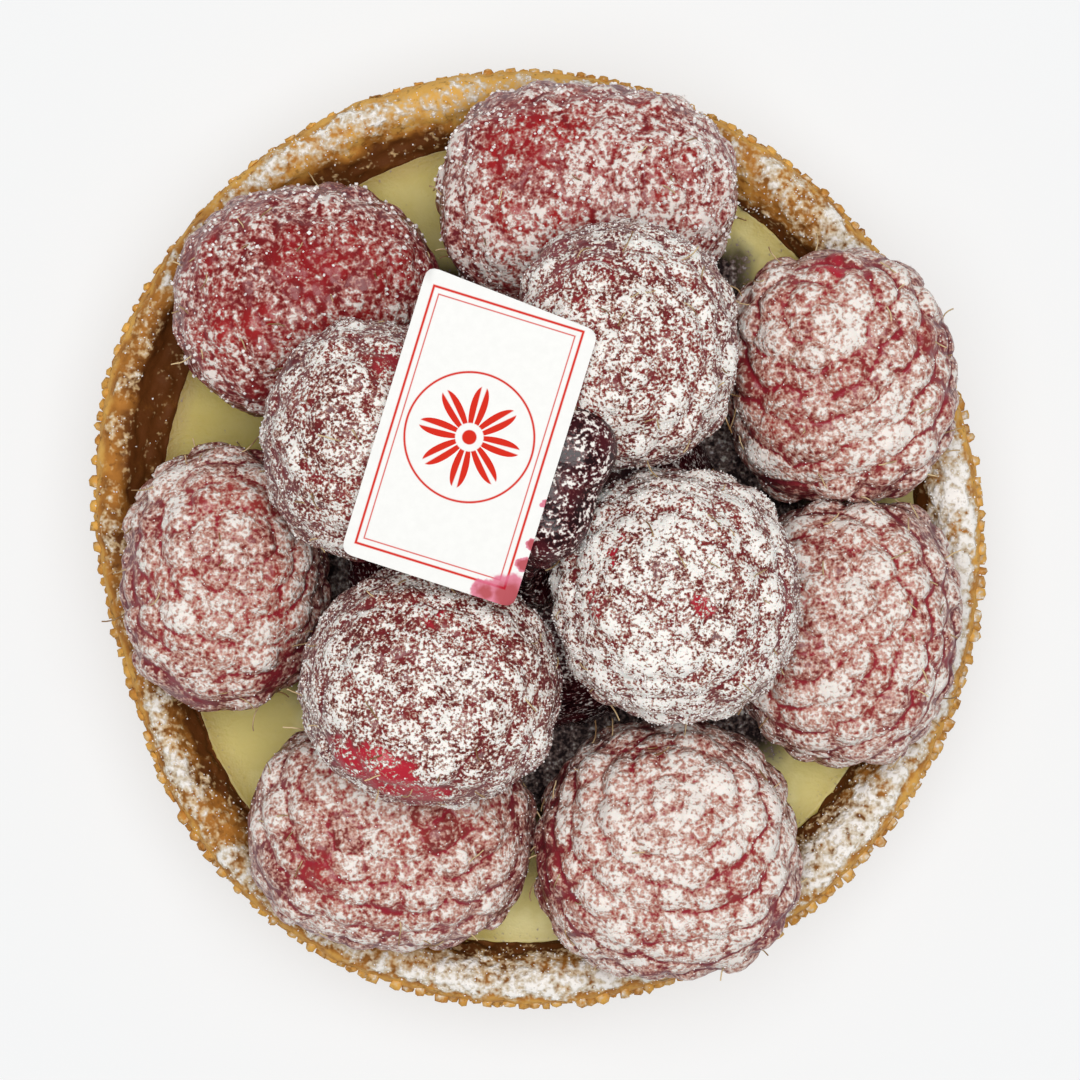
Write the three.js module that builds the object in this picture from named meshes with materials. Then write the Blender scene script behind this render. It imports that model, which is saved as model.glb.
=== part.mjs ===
// A round raspberry tart: a baked shell filled with pale cream, seven raspberries round the edge,
// four more heaped on them, dark jam in the middle and a small paper card laid on top.
// Millimetres, +Z up. The tart stands on z = 0, centred on the origin, with +Y its far side.
import * as THREE from "three";
import { ConvexHull } from "three/addons/math/ConvexHull.js";

// ---------------------------------------------------------------- driving dimensions

const GAP = 0.3; // air left between neighbours

const SHELL_LENGTH = 82.3; // the baked ring is slightly oval
const SHELL_WIDTH = 77.6;
const SHELL_LEAN = THREE.MathUtils.degToRad(12.7); // the long way leans from +Y towards -X
const SHELL_HEIGHT = 20;
const SHELL_FLOOR = 3;
const SHELL_FOOT_RADIUS = 1.2; // rounding where the wall meets the floor
const FOOT_TOP = { up: 0.8, inwards: 0.1 }; // where it ends: share of the radius, millimetres
const RIM_UNEVEN = 0.35; // how far the crest wanders up and down
const LIP_WIDTH = 4.15; // from the outer wall to the inner edge of the rim
const LIP_WIDENS = 0.45; // wider at the right, narrower at the left
const LIP_WANDER = 0.35;
const RIM_PROFILE = [
  [0.03, 1.5],
  [0.17, 0.45],
  [0.42, 0],
  [0.75, 0.5],
  [1, 1.7],
]; // from the outer wall over the crest: share of the lip's width inwards, drop from the crest
const CREST_POINT = 2;
const SLOPE_WIDTH = 1.15; // from the rim's inner edge to the cream
const SLOPE_WANDER = 0.2;
const SLUMP_WIDTH = 2; // how much wider where the dough slumped, at the far left
const SLUMP_PLACE = THREE.MathUtils.degToRad(138);
const SLUMP_SPREAD = THREE.MathUtils.degToRad(45);
const SLOPE_SHOULDER = 0.75; // share of the slope where it turns down into the cream
const WIDE_SIDE = THREE.MathUtils.degToRad(-20);
const SLOPE_ABOVE_CREAM = 0.6; // height of that shoulder over the cream
const SLOPE_UNDER_CREAM = 1.2; // how far below the cream's level the slope ends
const WELL_DRAFT = 0.6; // the well is narrower at its floor than at the cream
const RING_WAVES = [
  { count: 3, height: 0.44, crest: 7 },
  { count: 4, height: 0.27, crest: -31 },
  { count: 5, height: 0.15, crest: 16 },
]; // how the ring strays from a true oval: waves round it, each with the bearing of a crest
const DENT_DEPTH = 0.6; // a flat place in the ring's left side
const DENT_PLACE = THREE.MathUtils.degToRad(199);
const DENT_SPREAD = THREE.MathUtils.degToRad(11);

const NUBS_ROUND = 126; // small dough nubs pressed by the baking ring's holes, 2 mm apart
const NUB_HEIGHT = 0.6;
const NUB_UNEVEN = 0.35;
const NUB_ROWS = 5;
const NUB_FIRST_ROW = 3.4;
const NUB_ROW_PITCH = 3.4;
const BETWEEN_NUBS = 0.25; // of a step: puts the valley points beside the staggered nubs
const RIM_SIDES = 84; // corners of the smooth rings, fewer where the section is plainer
const WELL_SIDES = 63;
const CREAM_SIDES = 42;
const CREAM_MIDDLE_SIDES = 24;

const CREAM_LEVEL = 15.8;
const CREAM_CLIMB = 0.35; // the cream climbs a little where it meets the shell
const CREAM_EDGE_BAND = 1.3; // width of that climb
const CREAM_EDGE_SHRINK = 0.1; // its top edge keeps a little clearer of the slope
const CREAM_DISH = 0.2; // how far the ring between edge and middle lies lower
const CREAM_DISH_BAND = 4.5; // from the edge to the lowest ring
const CREAM_MIDDLE_RADIUS = 15.5; // inside this the cream is level

const BERRY_SQUARENESS = 2.25; // exponent of the body's section, 2 is a plain ellipse
const BERRY_TAPER = 0.06; // slimmer towards the tip
const BERRY_LUMP = 0.009; // height of each broad lump, as a share of the radius
const BERRY_LUMPS = 4;
const LUMP_BREADTH = 3.2; // waves of a lump over the berry
const DRUPELETS = 86;
const DRUPELET_RELIEF = 0.075; // height of a drupelet over its creases, as a share of the radius
const DRUPELET_STRAY = { along: 0.3, across: 0.12 }; // wander in its ring, in steps of the ring
const PRESS_REACH = 3; // neighbours nearer than this are kept apart by a flat
const SKIRT_SLOPE = 1.4; // how steeply a berry's side is let down inside the rim
const FITTING_STEP = 0.1; // a berry's point is drawn in by such steps until it is clear

const JAM_MOUND_RADIUS = 17;
const JAM_MOUND_HEIGHT = 16.5;
const JAM_PLUG = { x: 1.6, y: 3.6, halfWidth: 6.0, halfLength: 7.6, top: 49.2 };
const JAM_SIDES = 28;
const JAM_LEVELS = 15;
const JAM_TOP_RING = 0.985; // share of the height where the last ring lies
const JAM_LEVEL_SPACING = 0.92; // exponent: under 1 the levels stand closer near the top
const JAM_CLEARANCE = 0.55; // wider than GAP, because flat facets span the hollows between berries
const JAM_STEP = 0.1; // a level is let out by such steps until it meets a berry
const JAM_FLATNESS = 6; // exponent of the plug's side: nearly upright, then rounded over

const CARD_THICKNESS = 0.35;
const CARD_CORNER_RADIUS = 1.0;
const CARD_CORNER_STEPS = 4;
const CARD_CORNERS = [
  [-8.6, 22.3],
  [5.3, 16.9],
  [-1.7, -5.7],
  [-15.8, -1.1],
]; // far left, far right, near right, near left: cut slightly out of square
const CARD_HEIGHT = 49.5; // of the underside at the card's middle
const CARD_FALL = THREE.MathUtils.degToRad(4); // the near end lies lower

// Each berry: centre, full width, depth and height, its turn seen from above, where the tip
// points (bearing from +X, elevation) and the seed of its unevenness. The berries at the edge are
// squeezed squarer than the upper ones, each with its own squareness.
const OUTER_BERRIES = {
  raspberry_far: {
    at: [5.1, 29.6], size: [27.2, 20.6, 19.2], turn: 0, tip: [10, 30], seed: 11, squareness: 2.6,
  },
  raspberry_far_left: {
    at: [-19.4, 20.9], size: [24.4, 20.6, 19.0], turn: 15, tip: [15, 25], seed: 12,
  },
  raspberry_left: {
    at: [-26.6, -2.9], size: [18.4, 24.4, 19.2], turn: 0, tip: [60, 62], seed: 13,
  },
  raspberry_near_left: {
    at: [-12.1, -24.9], size: [26.2, 20.6, 19.2], turn: -4, tip: [80, 58], seed: 14, squareness: 2.5,
  },
  raspberry_near_right: {
    at: [11.7, -26.4], size: [23.6, 23.1, 20.2], turn: 0, tip: [80, 62], seed: 15, squareness: 2.4,
  },
  raspberry_right: {
    at: [26.5, -7.5], size: [18.8, 24.6, 19.4], turn: -6, tip: [165, 60], seed: 16, squareness: 2.7,
  },
  raspberry_far_right: {
    at: [26.1, 14.5], size: [20.2, 23.0, 19.4], turn: 8, tip: [120, 55], seed: 17, squareness: 2.7,
  },
};
const INNER_BERRIES = {
  raspberry_top_left: {
    at: [-13.9, 8.5], size: [18.9, 20.8, 19.2], turn: 0, tip: [150, 72], seed: 18, centre: 39.9,
  },
  raspberry_top_near: {
    at: [-8.7, -12.7], size: [22.6, 21.1, 19.4], turn: 0, tip: [250, 70], seed: 19, centre: 39.9,
  },
  raspberry_top_right: {
    at: [11.5, -4.6], size: [21.4, 22.5, 19.8], turn: 0, tip: [180, 75], seed: 20, centre: 39.9,
  },
  raspberry_top_far: {
    at: [7.1, 16.0], size: [19.6, 21.9, 19.4], turn: 6, tip: [200, 70], seed: 21, centre: 40.1,
  },
};

// ---------------------------------------------------------------- seeded unevenness

// Returns a function that gives the next number from 0 to 1 of a fixed sequence.
function sequence(seed) {
  let state = seed * 2654435761;
  return () => {
    state = (Math.imul(state ^ (state >>> 15), 2246822519) + 374761393) >>> 0;
    return ((state ^ (state >>> 13)) >>> 0) / 4294967296;
  };
}

// A smooth closed ripple round the tart, from -1 to 1, made of a few waves.
function ripple(seed, fewest, most) {
  const next = sequence(seed);
  const waves = [];
  for (let count = fewest; count <= most; count += 1) {
    waves.push({ count, phase: next() * Math.PI * 2, weight: 0.5 + next() });
  }
  const total = waves.reduce((sum, wave) => sum + wave.weight, 0);
  return (angle) =>
    waves.reduce(
      (sum, wave) => sum + (wave.weight * Math.sin(wave.count * angle + wave.phase)) / total,
      0,
    );
}

const crestWander = ripple(5, 4, 13);
const lipWander = ripple(7, 3, 11);
const nubWander = ripple(9, 9, 31);

// ---------------------------------------------------------------- solids from stacked rings

// One ring of a solid: count points, each from place(angle), the first one lying shift steps
// round. Rings may differ in count.
function ring(count, place, shift = 0) {
  return Array.from({ length: count }, (_, step) => {
    const share = (step + shift) / count;
    return { share, point: place(share * Math.PI * 2, step) };
  });
}

// Closes a stack of rings into one solid between two end points. The rings run from the first
// end to the last so that, seen from outside, each next ring lies further along the profile.
function ringSolid(firstEnd, rings, lastEnd) {
  const positions = [];
  const triangle = (a, b, c) => positions.push(...a, ...b, ...c);
  const first = rings[0];
  first.forEach((spot, i) => {
    triangle(firstEnd, first[(i + 1) % first.length].point, spot.point);
  });
  for (let level = 0; level + 1 < rings.length; level += 1) {
    const low = rings[level];
    const high = rings[level + 1];
    const shareOf = (row, index) => row[index % row.length].share + Math.floor(index / row.length);
    let i = 0;
    let j = 0;
    while (i < low.length || j < high.length) {
      const lowPoint = low[i % low.length].point;
      const highPoint = high[j % high.length].point;
      const lowMiddle = (shareOf(low, i) + shareOf(low, i + 1)) / 2;
      const highMiddle = (shareOf(high, j) + shareOf(high, j + 1)) / 2;
      const stepLow = j >= high.length || (i < low.length && lowMiddle <= highMiddle);
      if (stepLow) {
        triangle(lowPoint, low[(i + 1) % low.length].point, highPoint);
        i += 1;
      } else {
        triangle(lowPoint, high[(j + 1) % high.length].point, highPoint);
        j += 1;
      }
    }
  }
  const last = rings[rings.length - 1];
  last.forEach((spot, i) => {
    triangle(lastEnd, spot.point, last[(i + 1) % last.length].point);
  });
  const geometry = new THREE.BufferGeometry();
  geometry.setAttribute("position", new THREE.Float32BufferAttribute(positions, 3));
  geometry.computeVertexNormals();
  return geometry;
}

function polar(radius, angle, z) {
  return [radius * Math.cos(angle), radius * Math.sin(angle), z];
}

// ---------------------------------------------------------------- the shell's own lines

// A smooth hump round the tart, 1 at its place and near 0 away from it.
function humpAt(angle, place, spread) {
  const away = Math.atan2(Math.sin(angle - place), Math.cos(angle - place));
  return Math.exp(-((away / spread) ** 2));
}

// Radius of the outer wall in a direction seen from above.
function wallRadius(angle) {
  const fromLongWay = angle - (Math.PI / 2 + SHELL_LEAN);
  const half = { long: SHELL_LENGTH / 2, wide: SHELL_WIDTH / 2 };
  const oval =
    (half.long * half.wide) /
    Math.hypot(half.wide * Math.cos(fromLongWay), half.long * Math.sin(fromLongWay));
  const dent = DENT_DEPTH * humpAt(angle, DENT_PLACE, DENT_SPREAD);
  const strays = RING_WAVES.reduce((sum, { count, height, crest }) => {
    return sum + height * Math.cos(count * (angle - THREE.MathUtils.degToRad(crest)));
  }, 0);
  return oval + strays - dent;
}

// The rim's section in a direction: points from the outer wall over the crest to the cream,
// each as radius and height.
function rimSection(angle) {
  const wide = Math.cos(angle - WIDE_SIDE);
  const outer = wallRadius(angle);
  const crest = SHELL_HEIGHT - RIM_UNEVEN + RIM_UNEVEN * crestWander(angle);
  const lip = LIP_WIDTH + LIP_WIDENS * wide + LIP_WANDER * lipWander(angle);
  const slump = SLUMP_WIDTH * humpAt(angle, SLUMP_PLACE, SLUMP_SPREAD);
  const slope = SLOPE_WIDTH + slump + SLOPE_WANDER * lipWander(angle + 1);
  return [
    ...RIM_PROFILE.map(([inwards, drop]) => [outer - inwards * lip, crest - drop]),
    [outer - lip - SLOPE_SHOULDER * slope, CREAM_LEVEL + SLOPE_ABOVE_CREAM],
    [outer - lip - slope, CREAM_LEVEL - SLOPE_UNDER_CREAM],
  ];
}

const wellRadius = (angle) => rimSection(angle).at(-1)[0];

// Whether a spot is in the rim's wall or too near it: under the crest outside the lip's inner
// edge, or under a skirt that falls from there to the cream.
function insideRim(point) {
  const radius = Math.hypot(point.x, point.y);
  const section = rimSection(Math.atan2(point.y, point.x));
  const [edge] = section[RIM_PROFILE.length - 1];
  const [, crest] = section[CREST_POINT];
  const limit = crest + GAP - SKIRT_SLOPE * Math.max(0, edge - radius);
  return radius > wellRadius(Math.atan2(point.y, point.x)) - GAP && point.z < limit;
}

function shellGeometry() {
  const wall = (z, inset) => (angle) => polar(wallRadius(angle) - inset, angle, z);
  const footTop = wall(SHELL_FOOT_RADIUS * FOOT_TOP.up, FOOT_TOP.inwards);
  const rings = [ring(WELL_SIDES, wall(0, SHELL_FOOT_RADIUS))];
  rings.push(ring(NUBS_ROUND, footTop, BETWEEN_NUBS));
  for (let row = 0; row < NUB_ROWS; row += 1) {
    const z = NUB_FIRST_ROW + row * NUB_ROW_PITCH;
    const nub = (angle, step) => {
      const height = NUB_HEIGHT * (1 + NUB_UNEVEN * nubWander(angle + row));
      return polar(wallRadius(angle) + ((step + row) % 2 === 0 ? height : 0), angle, z);
    };
    rings.push(ring(NUBS_ROUND * 2, nub));
    if (row + 1 < NUB_ROWS) {
      rings.push(ring(NUBS_ROUND, wall(z + NUB_ROW_PITCH / 2, 0), BETWEEN_NUBS));
    }
  }
  const rim = (index) => (angle) => {
    const [radius, z] = rimSection(angle)[index];
    return polar(radius, angle, z);
  };
  for (let index = 0; index < CREST_POINT; index += 1) {
    rings.push(ring(NUBS_ROUND, rim(index), BETWEEN_NUBS));
  }
  for (let index = CREST_POINT; index < RIM_PROFILE.length; index += 1) {
    rings.push(ring(RIM_SIDES, rim(index)));
  }
  rings.push(ring(WELL_SIDES, rim(RIM_PROFILE.length)));
  rings.push(ring(WELL_SIDES, rim(RIM_PROFILE.length + 1)));
  const wellFloor = (angle) => polar(wellRadius(angle) - WELL_DRAFT, angle, SHELL_FLOOR);
  rings.push(ring(WELL_SIDES, wellFloor));
  return ringSolid([0, 0, 0], rings, [0, 0, SHELL_FLOOR]);
}

function creamGeometry() {
  const bottom = SHELL_FLOOR + GAP;
  const side = (z, inset) => (angle) => polar(wellRadius(angle) - GAP - inset, angle, z);
  const rings = [
    ring(WELL_SIDES, side(bottom, WELL_DRAFT)),
    ring(WELL_SIDES, side(CREAM_LEVEL - SLOPE_UNDER_CREAM, 0)),
    ring(WELL_SIDES, side(CREAM_LEVEL + CREAM_CLIMB - GAP, CREAM_EDGE_SHRINK)),
    ring(WELL_SIDES, side(CREAM_LEVEL - CREAM_DISH / 2, CREAM_EDGE_BAND)),
    ring(CREAM_SIDES, side(CREAM_LEVEL - CREAM_DISH, CREAM_DISH_BAND)),
    ring(CREAM_MIDDLE_SIDES, (angle) => polar(CREAM_MIDDLE_RADIUS, angle, CREAM_LEVEL)),
  ];
  return ringSolid([0, 0, bottom], rings, [0, 0, CREAM_LEVEL]);
}

// ---------------------------------------------------------------- raspberries

const cardMiddle = CARD_CORNERS.reduce(
  (sum, [x, y]) => [sum[0] + x / CARD_CORNERS.length, sum[1] + y / CARD_CORNERS.length],
  [0, 0],
);
const cardLongWay = new THREE.Vector2(
  CARD_CORNERS[0][0] + CARD_CORNERS[1][0] - CARD_CORNERS[2][0] - CARD_CORNERS[3][0],
  CARD_CORNERS[0][1] + CARD_CORNERS[1][1] - CARD_CORNERS[2][1] - CARD_CORNERS[3][1],
).normalize();

// Height of the card's underside over a spot, carried on past the card's edges.
function cardUnderside(x, y) {
  const along = (x - cardMiddle[0]) * cardLongWay.x + (y - cardMiddle[1]) * cardLongWay.y;
  return CARD_HEIGHT + along * Math.tan(CARD_FALL);
}

const TAPER_CREST = 2.6; // 1 over the largest value of t (1 - t^2)
const CLOSE_PACKED = Math.sqrt(3) / 2; // distance between rows over distance in a row

// A berry's body: its centre and how far its surface lies from there in any direction.
function berryBody({ at, size, turn, tip, seed, centre, squareness = BERRY_SQUARENESS }) {
  const half = new THREE.Vector3(...size).multiplyScalar(0.5);
  const z = centre ?? CREAM_LEVEL + GAP + half.z * (1 - DRUPELET_RELIEF);
  const middle = new THREE.Vector3(at[0], at[1], z);
  const turned = THREE.MathUtils.degToRad(turn);
  const [bearing, elevation] = tip.map(THREE.MathUtils.degToRad);
  const tipWay = new THREE.Vector3(
    Math.cos(elevation) * Math.cos(bearing),
    Math.cos(elevation) * Math.sin(bearing),
    Math.sin(elevation),
  );
  const next = sequence(seed);
  const lumps = Array.from({ length: BERRY_LUMPS }, () => ({
    way: new THREE.Vector3(next() - 0.5, next() - 0.5, next() - 0.5).normalize(),
    phase: next() * Math.PI * 2,
  }));
  const reach = (way) => {
    const across = way.x * Math.cos(turned) + way.y * Math.sin(turned);
    const along = way.y * Math.cos(turned) - way.x * Math.sin(turned);
    const n = squareness;
    const sum =
      Math.abs(across / half.x) ** n + Math.abs(along / half.y) ** n + Math.abs(way.z / half.z) ** n;
    const towardsTip = way.dot(tipWay);
    const taper = 1 - BERRY_TAPER * TAPER_CREST * towardsTip * (1 - towardsTip ** 2);
    const lump = lumps.reduce((total, { way: lumpWay, phase }) => {
      return total + Math.sin(LUMP_BREADTH * way.dot(lumpWay) + phase);
    }, 0);
    return sum ** (-1 / n) * taper * (1 + BERRY_LUMP * lump);
  };
  return { middle, tipWay, reach, half, next };
}

// Unit vectors to the drupelets: staggered rings round the tip, each with a little wander.
function drupeletWays(body) {
  const pitch = Math.sqrt((4 * Math.PI) / (DRUPELETS * CLOSE_PACKED));
  const rows = Math.round(Math.PI / (pitch * CLOSE_PACKED));
  const upright = new THREE.Quaternion().setFromUnitVectors(new THREE.Vector3(0, 0, 1), body.tipWay);
  const ways = [];
  for (let row = 0; row < rows; row += 1) {
    const fromTip = ((row + 0.5) * Math.PI) / rows;
    const count = Math.max(3, Math.round((2 * Math.PI * Math.sin(fromTip)) / pitch));
    for (let i = 0; i < count; i += 1) {
      const stray = DRUPELET_STRAY.along * (body.next() - 0.5);
      const angle = ((i + (row % 2) / 2 + stray) * 2 * Math.PI) / count;
      const polarAngle = fromTip + DRUPELET_STRAY.across * pitch * (body.next() - 0.5);
      const way = new THREE.Vector3().setFromSphericalCoords(1, polarAngle, angle);
      way.set(way.x, -way.z, way.y);
      ways.push(way.applyQuaternion(upright));
    }
  }
  return ways;
}

// Where two neighbouring berries press, each is flattened against a plane between them.
function pressPlanes(body, others) {
  return others.flatMap((other) => {
    const way = other.middle.clone().sub(body.middle);
    const distance = way.length();
    way.normalize();
    const own = body.reach(way);
    const theirs = other.reach(way.clone().negate());
    const spare = distance - own - theirs;
    return spare < PRESS_REACH ? [{ way, limit: own + spare / 2 - GAP / 2 }] : [];
  });
}

function berryGeometry(body, others, underCard) {
  const planes = pressPlanes(body, others);
  planes.push({ way: new THREE.Vector3(0, 0, -1), limit: body.middle.z - CREAM_LEVEL - GAP });
  const place = (way, share) => {
    let length = body.reach(way) * share;
    planes.forEach((plane) => {
      const towards = way.dot(plane.way);
      length = towards > 0 ? Math.min(length, plane.limit / towards) : length;
    });
    const point = () => body.middle.clone().addScaledVector(way, length);
    const blocked = () => {
      const spot = point();
      return insideRim(spot) || (underCard && spot.z > cardUnderside(spot.x, spot.y) - GAP);
    };
    while (blocked()) {
      length -= FITTING_STEP;
    }
    return point();
  };
  const ways = drupeletWays(body);
  const hull = new ConvexHull().setFromPoints(ways);
  const creases = new Map();
  hull.faces.forEach((face) => {
    const corners = [face.edge, face.edge.next, face.edge.prev];
    const middle = new THREE.Vector3();
    corners.forEach((edge) => middle.add(edge.head().point));
    creases.set(face, place(middle.normalize(), 1 - DRUPELET_RELIEF));
  });
  const tops = new Map(ways.map((way) => [way, place(way, 1)]));
  const positions = [];
  hull.faces.forEach((face) => {
    let edge = face.edge;
    do {
      const from = tops.get(edge.tail().point);
      positions.push(...from, ...creases.get(edge.twin.face), ...creases.get(face));
      edge = edge.next;
    } while (edge !== face.edge);
  });
  const geometry = new THREE.BufferGeometry();
  geometry.setAttribute("position", new THREE.Float32BufferAttribute(positions, 3));
  geometry.translate(-body.middle.x, -body.middle.y, -body.middle.z);
  geometry.computeVertexNormals();
  return geometry;
}

// ---------------------------------------------------------------- jam and card

// The jam fills the middle: a mound on the cream, and a plug that rises between the upper
// berries. Each level runs out from the plug's axis until it meets a berry.
function jamGeometry(bodies) {
  const { x, y, halfWidth, halfLength, top } = JAM_PLUG;
  const bottom = CREAM_LEVEL + GAP;
  const clear = (point) =>
    bodies.every((body) => {
      const way = point.clone().sub(body.middle);
      const distance = way.length();
      return distance > body.reach(way.normalize()) + JAM_CLEARANCE;
    });
  const level = (z) => {
    const up = (z - bottom) / (top - bottom);
    const axis = new THREE.Vector3(x * up, y * up, z);
    const mound = JAM_MOUND_RADIUS * Math.sqrt(Math.max(0, 1 - ((z - bottom) / JAM_MOUND_HEIGHT) ** 2));
    const plug = Math.sqrt(Math.max(0, 1 - up ** JAM_FLATNESS));
    const farthest = (angle) =>
      Math.max(mound, plug * Math.hypot(halfWidth * Math.cos(angle), halfLength * Math.sin(angle)));
    return ring(JAM_SIDES, (angle) => {
      const way = new THREE.Vector3(Math.cos(angle), Math.sin(angle), 0);
      const at = (distance) => axis.clone().addScaledVector(way, distance);
      const limit = farthest(angle);
      let out = JAM_STEP;
      while (out + JAM_STEP < limit && clear(at(out + JAM_STEP))) {
        out += JAM_STEP;
      }
      return at(out).toArray();
    });
  };
  const rings = [];
  for (let step = 0; step < JAM_LEVELS; step += 1) {
    const up = JAM_TOP_RING * (step / (JAM_LEVELS - 1)) ** JAM_LEVEL_SPACING;
    rings.push(level(bottom + (top - bottom) * up));
  }
  return ringSolid([0, 0, bottom], rings, [x, y, top]);
}

function cardGeometry() {
  const corners = CARD_CORNERS.map(([x, y]) => new THREE.Vector2(x - cardMiddle[0], y - cardMiddle[1]));
  const outline = new THREE.Shape();
  corners.forEach((corner, i) => {
    const before = corners[(i + corners.length - 1) % corners.length];
    const after = corners[(i + 1) % corners.length];
    const into = before.clone().sub(corner).setLength(CARD_CORNER_RADIUS).add(corner);
    const out = after.clone().sub(corner).setLength(CARD_CORNER_RADIUS).add(corner);
    if (i === 0) {
      outline.moveTo(into.x, into.y);
    } else {
      outline.lineTo(into.x, into.y);
    }
    outline.quadraticCurveTo(corner.x, corner.y, out.x, out.y);
  });
  outline.closePath();
  return new THREE.ExtrudeGeometry(outline, {
    depth: CARD_THICKNESS,
    bevelEnabled: false,
    curveSegments: CARD_CORNER_STEPS,
  });
}

// ---------------------------------------------------------------- materials and the scene graph

const material = (color, roughness) =>
  new THREE.MeshStandardMaterial({ color, roughness, metalness: 0 });

const bakedDough = material(0xc49155, 0.8);
const paleCream = material(0xcdbf88, 0.45);
const sugaredFruit = material(0xb98479, 0.75);
const darkJam = material(0x4a1418, 0.2);
const whitePaper = material(0xf8f7f3, 0.7);

function piece(name, geometry, finish, at = new THREE.Vector3()) {
  const mesh = new THREE.Mesh(geometry, finish);
  mesh.name = name;
  mesh.position.copy(at);
  return mesh;
}

const tart = new THREE.Group();
tart.add(piece("crust", shellGeometry(), bakedDough));
tart.add(piece("cream", creamGeometry(), paleCream));

const named = Object.entries({ ...OUTER_BERRIES, ...INNER_BERRIES });
const bodies = named.map(([, berry]) => berryBody(berry));
const berries = new THREE.Group();
named.forEach(([name], i) => {
  const others = bodies.filter((_, j) => j !== i);
  const geometry = berryGeometry(bodies[i], others, name in INNER_BERRIES);
  berries.add(piece(name, geometry, sugaredFruit, bodies[i].middle));
});
tart.add(berries);

tart.add(piece("jam", jamGeometry(bodies), darkJam));

const card = piece("card", cardGeometry(), whitePaper);
card.position.set(cardMiddle[0], cardMiddle[1], CARD_HEIGHT);
const crossways = new THREE.Vector3(cardLongWay.y, -cardLongWay.x, 0);
card.quaternion.setFromAxisAngle(crossways, CARD_FALL);
tart.add(card);

// The oval's own middle is a little off the middle of the whole, so the group is centred last.
const whole = new THREE.Box3().setFromObject(tart);
const middle = whole.getCenter(new THREE.Vector3());
tart.position.set(-middle.x, -middle.y, -whole.min.z);

const root = new THREE.Group();
root.add(tart);

export default root;
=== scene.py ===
# %% [markdown]
# # A raspberry tart under icing sugar
# The tart stands ready as plain solids: a baked shell, cream, eleven raspberries, jam and a card.
# This lesson dresses each of them: the shell gets its pressed nubs and crumb, the berries their
# drupelets, and everything gets sugar. The solids give the places, so they are loaded first. Named
# sizes are in millimetres, and MM turns them into metres.

# %% Load the solids
import math

import bpy
import numpy as np
from mathutils import Matrix, Vector, noise


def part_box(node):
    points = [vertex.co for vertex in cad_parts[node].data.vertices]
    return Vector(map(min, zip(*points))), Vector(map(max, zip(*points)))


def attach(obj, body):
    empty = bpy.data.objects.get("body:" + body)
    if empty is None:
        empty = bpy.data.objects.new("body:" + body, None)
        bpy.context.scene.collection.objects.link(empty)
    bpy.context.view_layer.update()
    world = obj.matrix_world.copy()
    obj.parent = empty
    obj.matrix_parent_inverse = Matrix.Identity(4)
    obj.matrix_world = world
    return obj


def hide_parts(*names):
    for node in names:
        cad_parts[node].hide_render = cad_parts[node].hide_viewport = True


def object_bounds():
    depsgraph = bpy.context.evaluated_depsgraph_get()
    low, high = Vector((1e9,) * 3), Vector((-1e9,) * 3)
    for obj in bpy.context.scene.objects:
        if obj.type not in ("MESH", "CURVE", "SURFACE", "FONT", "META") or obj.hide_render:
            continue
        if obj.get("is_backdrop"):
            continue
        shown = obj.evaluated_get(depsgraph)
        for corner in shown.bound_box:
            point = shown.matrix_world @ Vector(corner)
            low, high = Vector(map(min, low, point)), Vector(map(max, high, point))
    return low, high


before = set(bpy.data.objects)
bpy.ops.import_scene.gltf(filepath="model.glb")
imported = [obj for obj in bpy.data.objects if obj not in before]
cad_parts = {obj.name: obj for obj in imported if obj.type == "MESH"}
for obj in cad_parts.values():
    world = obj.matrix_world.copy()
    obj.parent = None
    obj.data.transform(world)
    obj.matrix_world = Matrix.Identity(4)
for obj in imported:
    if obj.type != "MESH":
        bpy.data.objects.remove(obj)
solid_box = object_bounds()
MM = 0.001
print("solids:", sorted(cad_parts))

# %% [markdown]
# ## The eye
# The tart is seen from straight above, from about half a metre. A long lens at that distance shows
# the rim and the berries almost without perspective, but the high berries still look a little
# larger than the low ones, so the camera's height matters as much as its angle.

# %% Camera over the middle of the tart
CAMERA_HEIGHT = 470 * MM
CAMERA_OFF_CENTRE = (0.11 * MM, -0.10 * MM)
FRAME_AT_RIM = 94.32 * MM  # how much the picture takes in, side to side, at the rim's height
RIM_HEIGHT = 20 * MM

bpy.ops.object.camera_add(location=(*CAMERA_OFF_CENTRE, CAMERA_HEIGHT), rotation=(0, 0, 0))
camera = bpy.context.object
camera.data.sensor_fit = "HORIZONTAL"
camera.data.angle = 2 * math.atan(FRAME_AT_RIM / 2 / (CAMERA_HEIGHT - RIM_HEIGHT))
bpy.context.scene.camera = camera
print("view angle", round(math.degrees(camera.data.angle), 2))

# %% [markdown]
# ## Table and light
# A pale table and soft light from straight overhead, in a faint even sky. Light that comes down the
# line of sight leaves hardly a shadow outside the tart and brings out the pale cream in its gaps,
# and only the undercut places between the berries go dark. The table is lit through from below, as
# a light table is, so the tart's shadow on it stays faint.

# %% Paints
def paint(red, green, blue):
    """A colour as read off a screen, 0 to 255, as the linear light that shaders use."""
    def linear(value):
        share = value / 255
        return share / 12.92 if share <= 0.04045 else ((share + 0.055) / 1.055) ** 2.4
    return (linear(red), linear(green), linear(blue), 1)


def plain_finish(name, colour, roughness):
    """A material whose shader has one colour and one roughness, ready for more nodes."""
    finish = bpy.data.materials.new(name)
    finish.use_nodes = True
    shader = finish.node_tree.nodes["Principled BSDF"]
    shader.inputs["Base Color"].default_value = colour
    shader.inputs["Roughness"].default_value = roughness
    return finish, shader


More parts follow.
